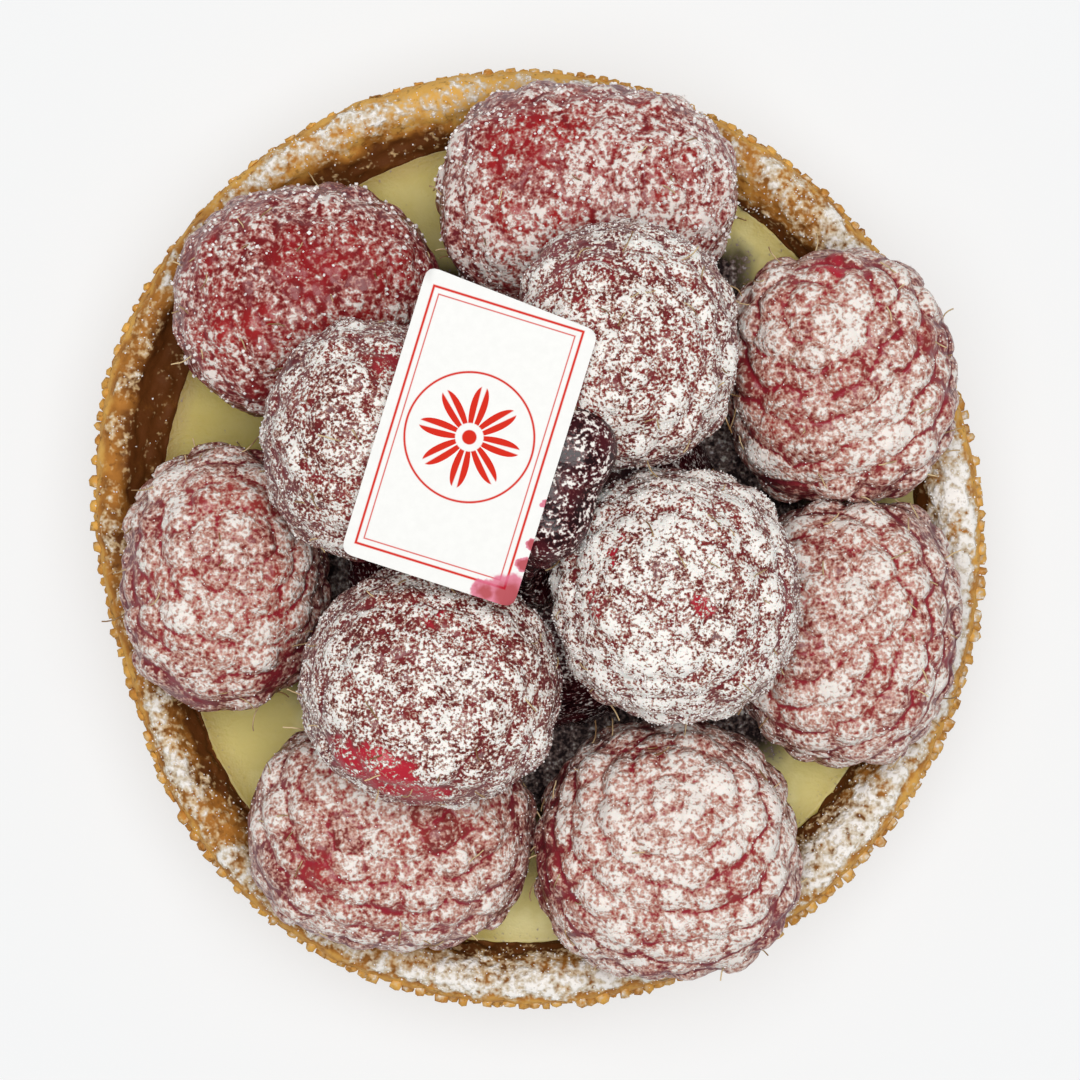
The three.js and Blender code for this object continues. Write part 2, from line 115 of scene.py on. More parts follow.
# %% Floor
TABLE_SIZE, TABLE_GREY, TABLE_GLOW = 4, paint(155, 157, 158), 0.58
TABLE_ROUGHNESS, TABLE_SHINE = 0.7, 0.1
WHITE_LIGHT = (1, 1, 1, 1)
bpy.ops.mesh.primitive_plane_add(size=TABLE_SIZE, location=(0, 0, 0))
table = bpy.context.object
table.name = "table"
table_finish, table_shader = plain_finish("pale_table", TABLE_GREY, TABLE_ROUGHNESS)
table_shader.inputs["Specular IOR Level"].default_value = TABLE_SHINE
table_shader.inputs["Emission Color"].default_value = WHITE_LIGHT
table_shader.inputs["Emission Strength"].default_value = TABLE_GLOW
table.data.materials.append(table_finish)
table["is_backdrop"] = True
print(table.name, TABLE_SIZE, "m square")

# %% Lamp and sky
LAMP_PLACE, LAMP_BREADTH, LAMP_POWER = Vector((0.02, 0.01, 0.90)), 0.62, 6.9
SKY_STRENGTH = 0.25
bpy.ops.object.light_add(type="AREA", location=LAMP_PLACE)
lamp = bpy.context.object
lamp.data.shape = "DISK"
lamp.data.size = LAMP_BREADTH
lamp.data.energy = LAMP_POWER
lamp.rotation_euler = (-LAMP_PLACE).to_track_quat("-Z", "Y").to_euler()

sky = bpy.data.worlds.new("soft_sky")
sky.use_nodes = True
sky.node_tree.nodes["Background"].inputs["Color"].default_value = WHITE_LIGHT
sky.node_tree.nodes["Background"].inputs["Strength"].default_value = SKY_STRENGTH
bpy.context.scene.world = sky
bpy.context.scene.view_settings.view_transform = "Standard"
print("lamp", LAMP_POWER, "W, sky", SKY_STRENGTH)

# %% [markdown]
# ## Small tools
# Every piece below is made in the same few ways: a primitive is added and shaped, a modifier is
# applied, points are moved by a rule, or one small model is copied many times into one mesh. These
# helpers name those ways. Each first deselects everything, because an operator acts on all that is
# selected.

# %% Selecting and shaping
def select_only(piece):
    bpy.ops.object.select_all(action="DESELECT")
    piece.select_set(True)
    bpy.context.view_layer.objects.active = piece


def open_all(piece):
    """Edit mode with every point selected."""
    select_only(piece)
    bpy.ops.object.mode_set(mode="EDIT")
    bpy.ops.mesh.select_all(action="SELECT")


def close_up(piece, distance=0.001 * MM):
    """Merges doubled points and turns the faces outwards."""
    open_all(piece)
    bpy.ops.mesh.remove_doubles(threshold=distance)
    bpy.ops.mesh.normals_make_consistent(inside=False)
    bpy.ops.object.mode_set(mode="OBJECT")


def settle(piece):
    """Puts a piece's place into its mesh, so that the object itself sits at the origin."""
    select_only(piece)
    bpy.ops.object.transform_apply(location=True, rotation=True, scale=True)


def modify(piece, kind, **settings):
    """Adds a modifier, sets it and applies it."""
    select_only(piece)
    modifier = piece.modifiers.new(kind.lower(), kind)
    for name, value in settings.items():
        setattr(modifier, name, value)
    bpy.ops.object.modifier_apply(modifier=modifier.name)


# %% Reading and moving points
def points_of(piece):
    flat = np.empty(len(piece.data.vertices) * 3, np.float32)
    piece.data.vertices.foreach_get("co", flat)
    return flat.reshape(-1, 3).astype(float)


def normals_of(piece):
    flat = np.empty(len(piece.data.vertices) * 3, np.float32)
    piece.data.vertex_normals.foreach_get("vector", flat)
    return flat.reshape(-1, 3).astype(float)


def move_points(piece, points):
    piece.data.vertices.foreach_set("co", np.asarray(points, np.float32).ravel())
    piece.data.update()


def blotches(points, size, shift=0.0):
    """Smooth seeded noise, about -1 to 1, with blotches of the given size in metres."""
    away = Vector((shift, shift * 1.7, shift * 0.3))
    return np.array([noise.noise(Vector(p) / size + away) for p in points])


def roughen(piece, size, height, weight=1.0, shift=0.0):
    """Raises and lowers the points along their normals by noise."""
    points = points_of(piece)
    rise = blotches(points, size, shift) * height * weight
    move_points(piece, points + normals_of(piece) * rise[:, None])


def relief_of(piece, rounds):
    """How far each point stands out of (or lies in) the piece's own smoothed surface, in metres."""
    smooth = piece.copy()
    smooth.data = piece.data.copy()
    bpy.context.collection.objects.link(smooth)
    modify(smooth, "SMOOTH", factor=0.5, iterations=rounds)
    stands = ((points_of(piece) - points_of(smooth)) * normals_of(piece)).sum(1)
    bpy.data.objects.remove(smooth)
    return stands


def ramp(values, low, high):
    """0 below low, 1 above high and a smooth step between."""
    share = np.clip((values - low) / (high - low), 0, 1)
    return share * share * (3 - 2 * share)


def at_least(floor, share):
    """Runs from the floor to 1 while the share runs from 0 to 1."""
    return floor + (1 - floor) * share


def give(piece, name, values):
    """Stores one number for each point, for the material to read."""
    numbers = piece.data.attributes.new(name, "FLOAT", "POINT")
    numbers.data.foreach_set("value", np.asarray(values, np.float32))


def given(piece, name):
    """Reads back the numbers that were stored under a name."""
    values = np.empty(len(piece.data.vertices), np.float32)
    piece.data.attributes[name].data.foreach_get("value", values)
    return values


# %% Spinning a section
def spun(name, section, columns, numbers=()):
    """Extrudes a section, a list of radius and height, and spins it round the upright axis.

    The numbers, if any, are one for each of its points, stored as "along".
    """
    bpy.ops.object.select_all(action="DESELECT")
    bpy.ops.mesh.primitive_plane_add(size=MM, location=(0, 0, 0))
    piece = bpy.context.object
    piece.name = name
    open_all(piece)
    bpy.ops.mesh.merge(type="CENTER")
    bpy.ops.transform.translate(value=(section[0][0] * MM, 0, section[0][1] * MM))
    for (radius, height), (next_radius, next_height) in zip(section, section[1:]):
        step = ((next_radius - radius) * MM, 0, (next_height - height) * MM)
        bpy.ops.mesh.extrude_region_move(TRANSFORM_OT_translate={"value": step})
    bpy.ops.object.mode_set(mode="OBJECT")
    if len(numbers):
        give(piece, "along", numbers)
    open_all(piece)
    bpy.ops.mesh.spin(steps=columns, angle=2 * math.pi, center=(0, 0, 0), axis=(0, 0, 1))
    bpy.ops.object.mode_set(mode="OBJECT")
    close_up(piece, 0.01 * MM)
    print(name, len(section), "points in the section,", len(piece.data.vertices), "in all")
    return piece


# %% Copying one model many times
def copies(name, model, places):
    """One mesh that holds the model once for each 4 by 4 matrix in places."""
    points = np.c_[points_of(model), np.ones(len(model.data.vertices))]
    faces = [tuple(face.vertices) for face in model.data.polygons]
    spots = np.einsum("nij,vj->nvi", np.asarray(places, float), points)[..., :3]
    count = len(points)
    every_face = [
        tuple(corner + copy * count for corner in face)
        for copy in range(len(places))
        for face in faces
    ]
    mesh = bpy.data.meshes.new(name)
    mesh.from_pydata(spots.reshape(-1, 3).tolist(), [], every_face)
    piece = bpy.data.objects.new(name, mesh)
    bpy.context.collection.objects.link(piece)
    return piece


def join(piece, *others):
    """Joins other pieces into the first one."""
    select_only(piece)
    for other in others:
        other.select_set(True)
    bpy.ops.object.join()


def stand_for(piece, finish, slot, *nodes):
    """Finishes a piece: smooth faces, its material, the body it rides on and the solids it shows."""
    select_only(piece)
    bpy.ops.object.shade_smooth()
    piece.data.materials.clear()
    piece.data.materials.append(finish)
    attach(piece, "root")
    if nodes:
        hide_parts(*nodes)
    triangles = sum(len(face.vertices) - 2 for face in piece.data.polygons)
    print(piece.name, triangles, "triangles")


# %% [markdown]
# ## Nodes for the finishes
# Icing sugar is a fine white dust. Close by it is grains and small clumps, with a thin film that
# has drunk the juice around them and the bare surface between. A flat mix of white and red would
# look like plaster. So fine noise is added to the piece's own "sugar" number, and the sum runs
# through three tones: the surface, the moist film and white. The same nodes dust the berries, the
# crust and the jam.

# %% Node helpers
def add_node(finish, kind, inputs, **settings):
    """Adds a node, sets it and links or fills its inputs. Returns the node."""
    tree = finish.node_tree
    node = tree.nodes.new(kind)
    for name, value in settings.items():
        setattr(node, name, value)
    for name, value in inputs.items():
        if isinstance(value, bpy.types.NodeSocket):
            tree.links.new(value, node.inputs[name])
        else:
            node.inputs[name].default_value = value
    return node


def let_light_in(shader, amount, colours, depth):
    """Light enters the piece, travels as far as the depth in metres, and leaves in its colours."""
    shader.inputs["Subsurface Weight"].default_value = amount
    shader.inputs["Subsurface Radius"].default_value = colours
    shader.inputs["Subsurface Scale"].default_value = depth


def object_place(finish):
    return add_node(finish, "ShaderNodeTexCoord", {}).outputs["Object"]


def attribute(finish, name):
    node = add_node(finish, "ShaderNodeAttribute", {}, attribute_name=name)
    return node.outputs["Fac"]


def noise_of(finish, place, size, detail=2.0, rough=0.5):
    """Noise with features of the given size in metres, 0 to 1 and mostly near a half."""
    inputs = {"Vector": place, "Scale": 0.5 / size, "Detail": detail, "Roughness": rough}
    return add_node(finish, "ShaderNodeTexNoise", inputs).outputs["Fac"]


def maths(finish, operation, first, second=0.0, third=0.0):
    inputs = {0: first, 1: second, 2: third}
    return add_node(finish, "ShaderNodeMath", inputs, operation=operation).outputs[0]


def spread(finish, value, low, high, to_low=0.0, to_high=1.0):
    """Maps low..high smoothly to to_low..to_high, and holds the ends."""
    inputs = {"Value": value, "From Min": low, "From Max": high, "To Min": to_low, "To Max": to_high}
    node = add_node(finish, "ShaderNodeMapRange", inputs, interpolation_type="SMOOTHSTEP")
    return node.outputs["Result"]


def blend(finish, share, under, over):
    """Mixes two colours, or a colour socket and a colour, by a share."""
    node = add_node(finish, "ShaderNodeMix", {}, data_type="RGBA")
    for name, value in (("Factor", share), ("A", under), ("B", over)):
        socket = [s for s in node.inputs if s.name == name and s.enabled][0]
        if isinstance(value, bpy.types.NodeSocket):
            finish.node_tree.links.new(value, socket)
        else:
            socket.default_value = value
    return [s for s in node.outputs if s.enabled][0]


# %% Icing sugar over any finish
SUGAR_WHITE = paint(246, 242, 236)
SUGAR_ROUGHNESS = 0.85
SUGAR_RELIEF = 0.07 * MM
COVER_STEEPNESS = 1.6  # the share of white rises this much faster than the sugar number
FILM_TONES, WHITE_TONES = (0.10, 0.62), (0.46, 1.0)  # the tones over which each of them comes in
GRAIN_HEIGHT = 0.6  # of the white's


def dust(finish, place, colour, film_colour, roughness, cover, grains, clumps,
         white_colour=SUGAR_WHITE):
    """Lays sugar on a colour. The cover runs from 0, bare, to 1, all white.

    Grains and clumps each have a size in metres and a strength.
    """
    shader = finish.node_tree.nodes["Principled BSDF"]
    grain = noise_of(finish, place, grains[0], 1.5, 0.6)
    clump = noise_of(finish, place, clumps[0], 2.0, 0.5)
    level = 0.5 * (1 - COVER_STEEPNESS - grains[1] - clumps[1])
    lifted = maths(finish, "MULTIPLY_ADD", cover, COVER_STEEPNESS, level)
    clumped = maths(finish, "MULTIPLY_ADD", clump, clumps[1], lifted)
    tone = maths(finish, "MULTIPLY_ADD", grain, grains[1], clumped)
    film = spread(finish, tone, *FILM_TONES)
    white = spread(finish, tone, *WHITE_TONES)
    veiled = blend(finish, film, colour, film_colour)
    shown = blend(finish, white, veiled, white_colour)
    link = finish.node_tree.links.new
    link(shown, shader.inputs["Base Color"])
    rough = spread(finish, white, 0.0, 1.0, roughness, SUGAR_ROUGHNESS)
    link(rough, shader.inputs["Roughness"])
    height = maths(finish, "MULTIPLY_ADD", grain, GRAIN_HEIGHT, white)
    bump = add_node(finish, "ShaderNodeBump", {"Height": height, "Distance": SUGAR_RELIEF})
    link(bump.outputs["Normal"], shader.inputs["Normal"])


# %% [markdown]
# ## The baked shell
# The shell is short pastry baked inside a ring of perforated steel: the dough creeps into the holes
# and comes out covered in small nubs, 2 mm apart. Its rim is rounded by hand and falls unevenly into
# the well. A spun section gives a perfect ring, which is then pushed off the true circle by the
# same few waves that shape the solid, so both have the same outline.

# %% The shell's own lines
SHELL_LENGTH, SHELL_WIDTH, SHELL_LEAN = 82.3, 77.6, math.radians(12.7)
SHELL_HEIGHT, SHELL_FLOOR, CREAM_LEVEL = 20, 3, 15.8
RING_WAVES = [(3, 0.44, 7), (4, 0.27, -31), (5, 0.15, 16)]  # count, height, bearing of a crest
DENT_DEPTH, DENT_PLACE, DENT_SPREAD = 0.6, math.radians(199), math.radians(11)
SLUMP_WIDTH, SLUMP_PLACE, SLUMP_SPREAD = 2.0, math.radians(138), math.radians(45)
RIM_UNEVEN, WIDE_SIDE = 0.35, math.radians(-20)
LIP_WIDTH, LIP_WIDER, LIP_UNEVEN = 4.15, 0.45, 0.35  # from the wall to the crest's inner edge
SLOPE_WIDTH, SLOPE_UNEVEN = 1.15, 0.2  # from there down to the cream


def sequence(seed):
    """The fixed sequence of numbers, 0 to 1, that the solid's unevenness is drawn from."""
    state = seed * 2654435761
    whole = 0xFFFFFFFF
    while True:
        state &= whole
        state = (((state ^ (state >> 15)) * 2246822519) + 374761393) & whole
        yield ((state ^ (state >> 13)) & whole) / 2 ** 32


def ripple(seed, fewest, most):
    """A smooth closed ripple round the tart, -1 to 1, made of a few waves."""
    draw = sequence(seed)
    waves = [(count, next(draw) * 2 * math.pi, 0.5 + next(draw)) for count in range(fewest, most + 1)]
    total = sum(weight for _, _, weight in waves)
    return lambda angle: sum(
        weight * np.sin(count * angle + phase) / total for count, phase, weight in waves
    )


crest_wander, lip_wander, nub_wander = ripple(5, 4, 13), ripple(7, 3, 11), ripple(9, 9, 31)


def hump_at(angle, place, breadth):
    """A smooth hump round the tart: 1 at its place and near 0 away from it."""
    away = np.arctan2(np.sin(angle - place), np.cos(angle - place))
    return np.exp(-((away / breadth) ** 2))


def wall_radius(angle):
    """Radius of the outer wall, in millimetres, in each direction."""
    from_long_way = angle - (math.pi / 2 + SHELL_LEAN)
    long, wide = SHELL_LENGTH / 2, SHELL_WIDTH / 2
    oval = long * wide / np.hypot(wide * np.cos(from_long_way), long * np.sin(from_long_way))
    waves = sum(h * np.cos(n * (angle - math.radians(crest))) for n, h, crest in RING_WAVES)
    return oval + waves - DENT_DEPTH * hump_at(angle, DENT_PLACE, DENT_SPREAD)


# %% The section in each direction
def shell_section(angle):
    """Corner points of the section from the base's middle, up the wall, over the rim and down."""
    wide = np.cos(angle - WIDE_SIDE)
    outer = wall_radius(angle)
    crest = SHELL_HEIGHT - RIM_UNEVEN + RIM_UNEVEN * crest_wander(angle)
    lip = LIP_WIDTH + LIP_WIDER * wide + LIP_UNEVEN * lip_wander(angle)
    slump = SLUMP_WIDTH * hump_at(angle, SLUMP_PLACE, SLUMP_SPREAD)
    slope = SLOPE_WIDTH + slump + SLOPE_UNEVEN * lip_wander(angle + 1)
    well = outer - lip - slope
    none = np.zeros_like(angle)
    corners = [
        (none, none), (outer - 6, none), (outer - 1.2, none), (outer - 0.3, none + 0.35),
        (outer, none + 1.3), (outer, none + 6), (outer, none + 12), (outer, crest - 3),
        (outer - 0.03 * lip, crest - 1.5), (outer - 0.17 * lip, crest - 0.45),
        (outer - 0.42 * lip, crest), (outer - 0.75 * lip, crest - 0.5), (outer - lip, crest - 1.7),
        (outer - lip - 0.75 * slope, none + CREAM_LEVEL + 0.6), (well, none + CREAM_LEVEL - 1.2),
        (well - 0.6, none + SHELL_FLOOR + 0.6), (well - 1.4, none + SHELL_FLOOR),
        (none, none + SHELL_FLOOR),
    ]
    return np.array([(r + none, z + none) for r, z in corners])


STEPS_BETWEEN = [3, 2, 2, 2, 4, 5, 3, 5, 4, 5, 6, 6, 9, 6, 5, 1, 3]  # points from corner to corner
RIM_FROM, RIM_TO = 7, 14  # the corners between which the section is the rim
along_section = np.array(
    [i + step / steps for i, steps in enumerate(STEPS_BETWEEN) for step in range(steps)]
    + [len(STEPS_BETWEEN)]
)


def on_section(angle, along):
    """Points of the section between its corners, on a smooth curve through them."""
    corners = shell_section(angle)
    last = len(corners) - 1
    start = np.minimum(along.astype(int), last - 1)
    t = along - start
    pick = lambda offset: corners[np.clip(start + offset, 0, last), :, np.arange(len(angle))]
    before, here, there, after = pick(-1), pick(0), pick(1), pick(2)
    t = t[:, None]
    curve = 0.5 * (
        2 * here + (there - before) * t + (2 * before - 5 * here + 4 * there - after) * t ** 2
        + (3 * here - before - 3 * there + after) * t ** 3
    )
    return curve[:, 0], np.maximum(curve[:, 1], 0)


# %% Spin the section
SHELL_COLUMNS = 756
section = list(zip(*on_section(np.zeros(len(along_section)), along_section)))
shell = spun("baked_shell", section, SHELL_COLUMNS, along_section)

# %% Push the ring off the true circle
along = given(shell, "along")
spots = points_of(shell)
bearing = np.arctan2(spots[:, 1], spots[:, 0])
radius, height = on_section(bearing, along.astype(float))
ring = np.c_[radius * np.cos(bearing), radius * np.sin(bearing), height] * MM
on_rim = ramp(along, RIM_FROM, RIM_FROM + 1.5) * (1 - ramp(along, RIM_TO - 1, RIM_TO))
move_points(shell, ring)
print("ring", (ring.max(0) - ring.min(0)) / MM)

# %% [markdown]
# ### Nubs
# A nub is a small dome. One is modelled with few faces and copied into ten staggered rows, each
# copy turned outwards and a little larger or smaller than the next. Whole balls half sunk in the
# wall keep the mesh closed.

# %% Ten rows of nubs
NUBS_ROUND, NUB_ROWS = 126, 10
NUB_WIDTH, NUB_HEIGHT, NUB_UNEVEN = 1.08, 0.70, 0.35
NUB_MISSING = 0.06  # share of the holes that the dough didn't fill
NUB_BLUNTNESS = 0.65  # 1 is a ball, less is a blunter plug
NUB_FIRST_ROW, NUB_ROW_PITCH = 2.1, 1.72
NUB_HEIGHTS, NUB_BREADTHS = (0.55, 1.2), (0.75, 1.2)  # times the usual one
NUB_LEAST, NUB_SWING, NUB_CRUMB = 0.12, 0.002, 0.055  # least height, play in its bearing, roughness
NUB_BROWN = 0.30
NUB_STRENGTH = [(-170, 0.55), (-150, 0.75), (-110, 0.7), (-85, 1), (5, 1), (25, 0.6), (90, 0.5),
                (102, 0.12), (145, 0.12), (160, 0.9), (190, 1)]  # bearing, share of the full height


def nub_strength(angle):
    """Nubs stand out where the dough filled the holes, and are nearly smooth at the far left."""
    bearings, shares = zip(*NUB_STRENGTH)
    return np.interp(math.degrees(angle), bearings, shares, period=360)


bpy.ops.object.select_all(action="DESELECT")
bpy.ops.mesh.primitive_uv_sphere_add(segments=8, ring_count=4, radius=1, location=(0, 0, 0))
nub = bpy.context.object
ball = points_of(nub)
move_points(nub, np.sign(ball) * np.abs(ball) ** NUB_BLUNTNESS)
draws = np.random.default_rng(41)
nub_places = []
for row in range(NUB_ROWS):
    level = NUB_FIRST_ROW + row * NUB_ROW_PITCH
    for step in range(NUBS_ROUND):
        angle = (step + row % 2 / 2) * 2 * math.pi / NUBS_ROUND + draws.normal(0, NUB_SWING)
        proud = NUB_HEIGHT * (1 + NUB_UNEVEN * nub_wander(angle + row)) * draws.uniform(*NUB_HEIGHTS)
        proud = NUB_LEAST + (proud - NUB_LEAST) * nub_strength(angle)
        wide, tall = NUB_WIDTH / 2 * draws.uniform(*NUB_BREADTHS, 2)
        size = Matrix.Diagonal((proud * MM, wide * MM, tall * MM, 1))
        if draws.random() < NUB_MISSING:
            continue
        out = wall_radius(np.array([angle]))[0] * MM
        at = Matrix.Translation((out * math.cos(angle), out * math.sin(angle), level * MM))
        nub_places.append(at @ Matrix.Rotation(angle, 4, "Z") @ size)
nubs = copies("nubs", nub, nub_places)
nub_points = len(nub.data.vertices)
nub_browns = np.repeat(draws.uniform(0.0, NUB_BROWN, len(nub_places)), nub_points)
jitter = draws.normal(0, NUB_CRUMB * MM, (len(nub_places) * nub_points, 3))
move_points(nubs, points_of(nubs) + jitter)
bpy.data.objects.remove(nub)
print(len(nub_places), "nubs")

# %% [markdown]
# ### Crumb
# Baked dough is rough at several sizes at once: slow dents from the fingers, a grain of less than a
# millimetre and fine crumb. Each is one pass of noise along the normals, strongest on the rim.

# %% Roughen the rim and the wall
WALL_CRUMB = 0.35  # of the rim's
well_wall = ramp(along, RIM_TO - 0.6, RIM_TO)
rim_alone = on_rim * (1 - well_wall)
rim_and_wall = at_least(WALL_CRUMB, on_rim) * (1 - well_wall)
inner_slope = ramp(along, 11.8, 12.6) * (1 - ramp(along, RIM_TO - 0.9, RIM_TO - 0.6))
CRUMB = [  # size, height, where it is, shift of its noise
    (4.5, 0.30, rim_alone, 3.1), (1.6, 0.22, rim_and_wall, 7.7), (0.7, 0.16, rim_and_wall, 1.3),
    (0.9, 0.30, inner_slope, 4.4),
]
for size, rise, where, shift in CRUMB:
    roughen(shell, size * MM, rise * MM, where, shift)
BASE_TO = 3  # up to this corner the section is the flat base
level_base = points_of(shell)
level_base[along < BASE_TO, 2] = 0
level_base[:, 2] = np.maximum(level_base[:, 2], 0)
move_points(shell, level_base)
shell_relief = relief_of(shell, 12) / MM
print("crumb from", shell_relief.min().round(2), "to", shell_relief.max().round(2), "mm")

# %% [markdown]
# ### Baked and dusted
# An oven browns one side of a pastry more than the other. Sugar sifted from above stays on what
# faces up, and thins out towards the well, where the berries were in its way. Both could be painted
# by hand. Here each is a number for every point, worked out from its bearing, its place on the
# section, its slope and how far it stands proud, and the finish reads the two. The brown number
# also holds painted shade: it darkens the inner wall, most on one side, the wall's foot by the
# cream and the hollows of the crumb.

# %% The shell's sides and stretches
SUGAR_ROUND = [(-175, 0.33), (-140, 0.48), (-90, 0.60), (-45, 0.61), (0, 0.68), (45, 0.50),
               (95, 0.48), (130, 0.42), (160, 0.32)]  # bearing, amount
BROWN_ROUND = [(-170, 0.62), (-140, 0.60), (-90, 0.72), (-45, 0.75), (0, 0.62), (45, 0.68),
               (95, 0.0), (130, 0.36), (160, 0.62)]
# the side where the inner wall is darker, partly baked colour and partly painted shade, and where the
# inner half keeps less sugar
DARK_SIDE, DARK_SIDE_SPREAD = math.radians(165), math.radians(45)
DRIFT_SIZE, PATCH_SIZE = 5 * MM, 1.8 * MM
# stretches of the section over which each effect comes in, counted in corners
OUTER_EDGE, INNER_HALF, INNER_WALL, WALL_FOOT = (8.3, 9.3), (9.8, 12.4), (11.7, 12.9), (12.9, 13.25)


def round_ring(table):
    """A number for each point of the shell, from a few given bearings round the ring."""
    bearings, values = zip(*table)
    return np.interp(np.degrees(bearing), bearings, values, period=360)


up = normals_of(shell)[:, 2]
places = points_of(shell)
drift = blotches(places, DRIFT_SIZE, 11.0)
patch = blotches(places, PATCH_SIZE, 17.0)
dark_side = hump_at(bearing, DARK_SIDE, DARK_SIDE_SPREAD)
# the inner wall's band, wider on that side; the brown number darkens it, partly as painted shade
inner_wall = ramp(along + 0.6 * drift + 0.3 * patch + 0.7 * dark_side, *INNER_WALL)
outer_edge = 1 - ramp(along + 0.6 * patch, *OUTER_EDGE)
inner_half = ramp(along, *INNER_HALF)

# %% Where the shell is sugared
DRIFT_SUGAR, PATCH_SUGAR, PROUD_SUGAR, WALL_SUGAR = 0.22, 0.20, 0.30, 0.14
INSIDE_LOSS, DARK_SIDE_LOSS, WALL_LOSS, EDGE_LOSS = 0.20, 0.50, 0.85, 0.55
HOLLOW_TO_PROUD = (-0.08, 0.12)
shell_sugar = round_ring(SUGAR_ROUND) + DRIFT_SUGAR * drift + PATCH_SUGAR * patch
shell_sugar += PROUD_SUGAR * (ramp(shell_relief, *HOLLOW_TO_PROUD) - 0.5)
shell_sugar *= 1 - inner_half * (INSIDE_LOSS + DARK_SIDE_LOSS * dark_side)
shell_sugar *= on_rim * ramp(up, 0.0, 0.7)
shell_sugar *= (1 - WALL_LOSS * inner_wall) * (1 - EDGE_LOSS * outer_edge)
shell_sugar += WALL_SUGAR * ramp(along, *INNER_WALL) * (1 - ramp(along, *WALL_FOOT))
give(shell, "sugar", np.clip(shell_sugar, 0, 1))
print("sugar on the shell, mean", np.clip(shell_sugar, 0, 1).mean().round(3))

# %% Where the shell is brown, and where shade is painted on it
# The drift and patch terms are baked colour; the inner wall and inner half terms are partly painted
# shade, and the foot and hollow terms are painted shade only.
DRIFT_BROWN, PATCH_BROWN, HOLLOW_SHADE, EDGE_PALER = 0.30, 0.15, 0.25, 0.75
INNER_WALL_BROWN_AND_SHADE, INSIDE_BROWN_AND_SHADE, FOOT_SHADE = 0.70, 0.30, 0.5
HOLLOW_DEPTH = 0.12
shell_brown_and_shade = round_ring(BROWN_ROUND) + DRIFT_BROWN * drift + PATCH_BROWN * patch
shell_brown_and_shade *= 1 - EDGE_PALER * outer_edge
# the inner wall, and the inner half on the darker side: partly baked colour, partly painted shade
shell_brown_and_shade += INNER_WALL_BROWN_AND_SHADE * inner_wall + INSIDE_BROWN_AND_SHADE * inner_half * dark_side
# painted shade in the crevice where the inner wall meets the cream
shell_brown_and_shade += FOOT_SHADE * ramp(along + 0.3 * patch, *WALL_FOOT)
# painted shade in the hollows of the crumb
shell_brown_and_shade += HOLLOW_SHADE * ramp(-shell_relief, 0.0, HOLLOW_DEPTH)
give(shell, "brown_and_shade", np.clip(shell_brown_and_shade, 0, 1))
print("brown of the shell, mean", np.clip(shell_brown_and_shade, 0, 1).mean().round(3))

# %% The nubs' own numbers
NUB_SUGAR, NUB_SUGAR_FROM, NUB_SUGAR_TO = 0.7, 13, 17  # share of the rim's, and from which height
WALL_MIDDLE = 5.0  # corner of the section that the nubs belong to
nub_spots = points_of(nubs)
nub_bearing = np.degrees(np.arctan2(nub_spots[:, 1], nub_spots[:, 0]))
nub_sugar = NUB_SUGAR * np.interp(nub_bearing, *zip(*SUGAR_ROUND), period=360)
nub_sugar *= ramp(normals_of(nubs)[:, 2], 0.1, 0.8)
nub_sugar *= ramp(nub_spots[:, 2] / MM, NUB_SUGAR_FROM, NUB_SUGAR_TO)
give(nubs, "sugar", nub_sugar)
give(nubs, "brown_and_shade", nub_browns)
give(nubs, "along", np.full(len(nub_spots), WALL_MIDDLE))

# %% Shell and nubs in one, over the solid's middle
join(shell, nubs)
solid_low, solid_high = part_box("crust")
shell_middle = (points_of(shell).max(0) + points_of(shell).min(0)) / 2
shell_shift = np.array((solid_low + solid_high) / 2) - shell_middle
shell_shift[2] = 0
move_points(shell, points_of(shell) + shell_shift)
print("shell shifted by", shell_shift / MM, "mm")

# %% Baked pastry
DOUGH_GOLD, DOUGH_TAN, DOUGH_BROWN = paint(224, 172, 86), paint(182, 120, 50), paint(94, 50, 16)
CRUST_FILM_GOLDEN, CRUST_FILM_PALE = paint(213, 180, 130), paint(208, 194, 170)
PASTRY_ROUGHNESS, PASTRY_SHINE = 0.7, 0.15
FLECK_SIZE, SPECK_SIZE, FLECK_BROWN = 0.9 * MM, 0.35 * MM, 0.8
crust_finish, crust_shader = plain_finish("baked_pastry", DOUGH_TAN, PASTRY_ROUGHNESS)
crust_shader.inputs["Specular IOR Level"].default_value = PASTRY_SHINE
place = object_place(crust_finish)
fleck = noise_of(crust_finish, place, FLECK_SIZE, 3, 0.6)
speck = noise_of(crust_finish, place, SPECK_SIZE, 2, 0.6)
toast = maths(crust_finish, "MULTIPLY_ADD", fleck, FLECK_BROWN, -FLECK_BROWN / 2)
# the brown number holds baked colour and painted shade alike
browned_and_shaded = maths(crust_finish, "ADD", attribute(crust_finish, "brown_and_shade"), toast)
golden = blend(crust_finish, spread(crust_finish, browned_and_shaded, 0.0, 0.4), DOUGH_GOLD, DOUGH_TAN)
dark = blend(crust_finish, spread(crust_finish, browned_and_shaded, 0.3, 1.0), golden, DOUGH_BROWN)
flecked = blend(crust_finish, spread(crust_finish, speck, 0.56, 0.7, 0, 0.5), dark, DOUGH_BROWN)
crust_sugar = attribute(crust_finish, "sugar")
thickly = spread(crust_finish, crust_sugar, 0.3, 0.65)
crust_film = blend(crust_finish, thickly, CRUST_FILM_GOLDEN, CRUST_FILM_PALE)
dust(crust_finish, place, flecked, crust_film, PASTRY_ROUGHNESS, crust_sugar,
     (0.24 * MM, 1.8), (0.6 * MM, 1.2))
stand_for(shell, crust_finish, "crust", "crust")

# %% [markdown]
# ## The cream
# The cream was poured and levelled, so it is a smooth disc that climbs a little at the shell and
# has shallow waves. It is spun from the same lines as the shell's well, and reaches a hair into the
# wall so that no gap shows.

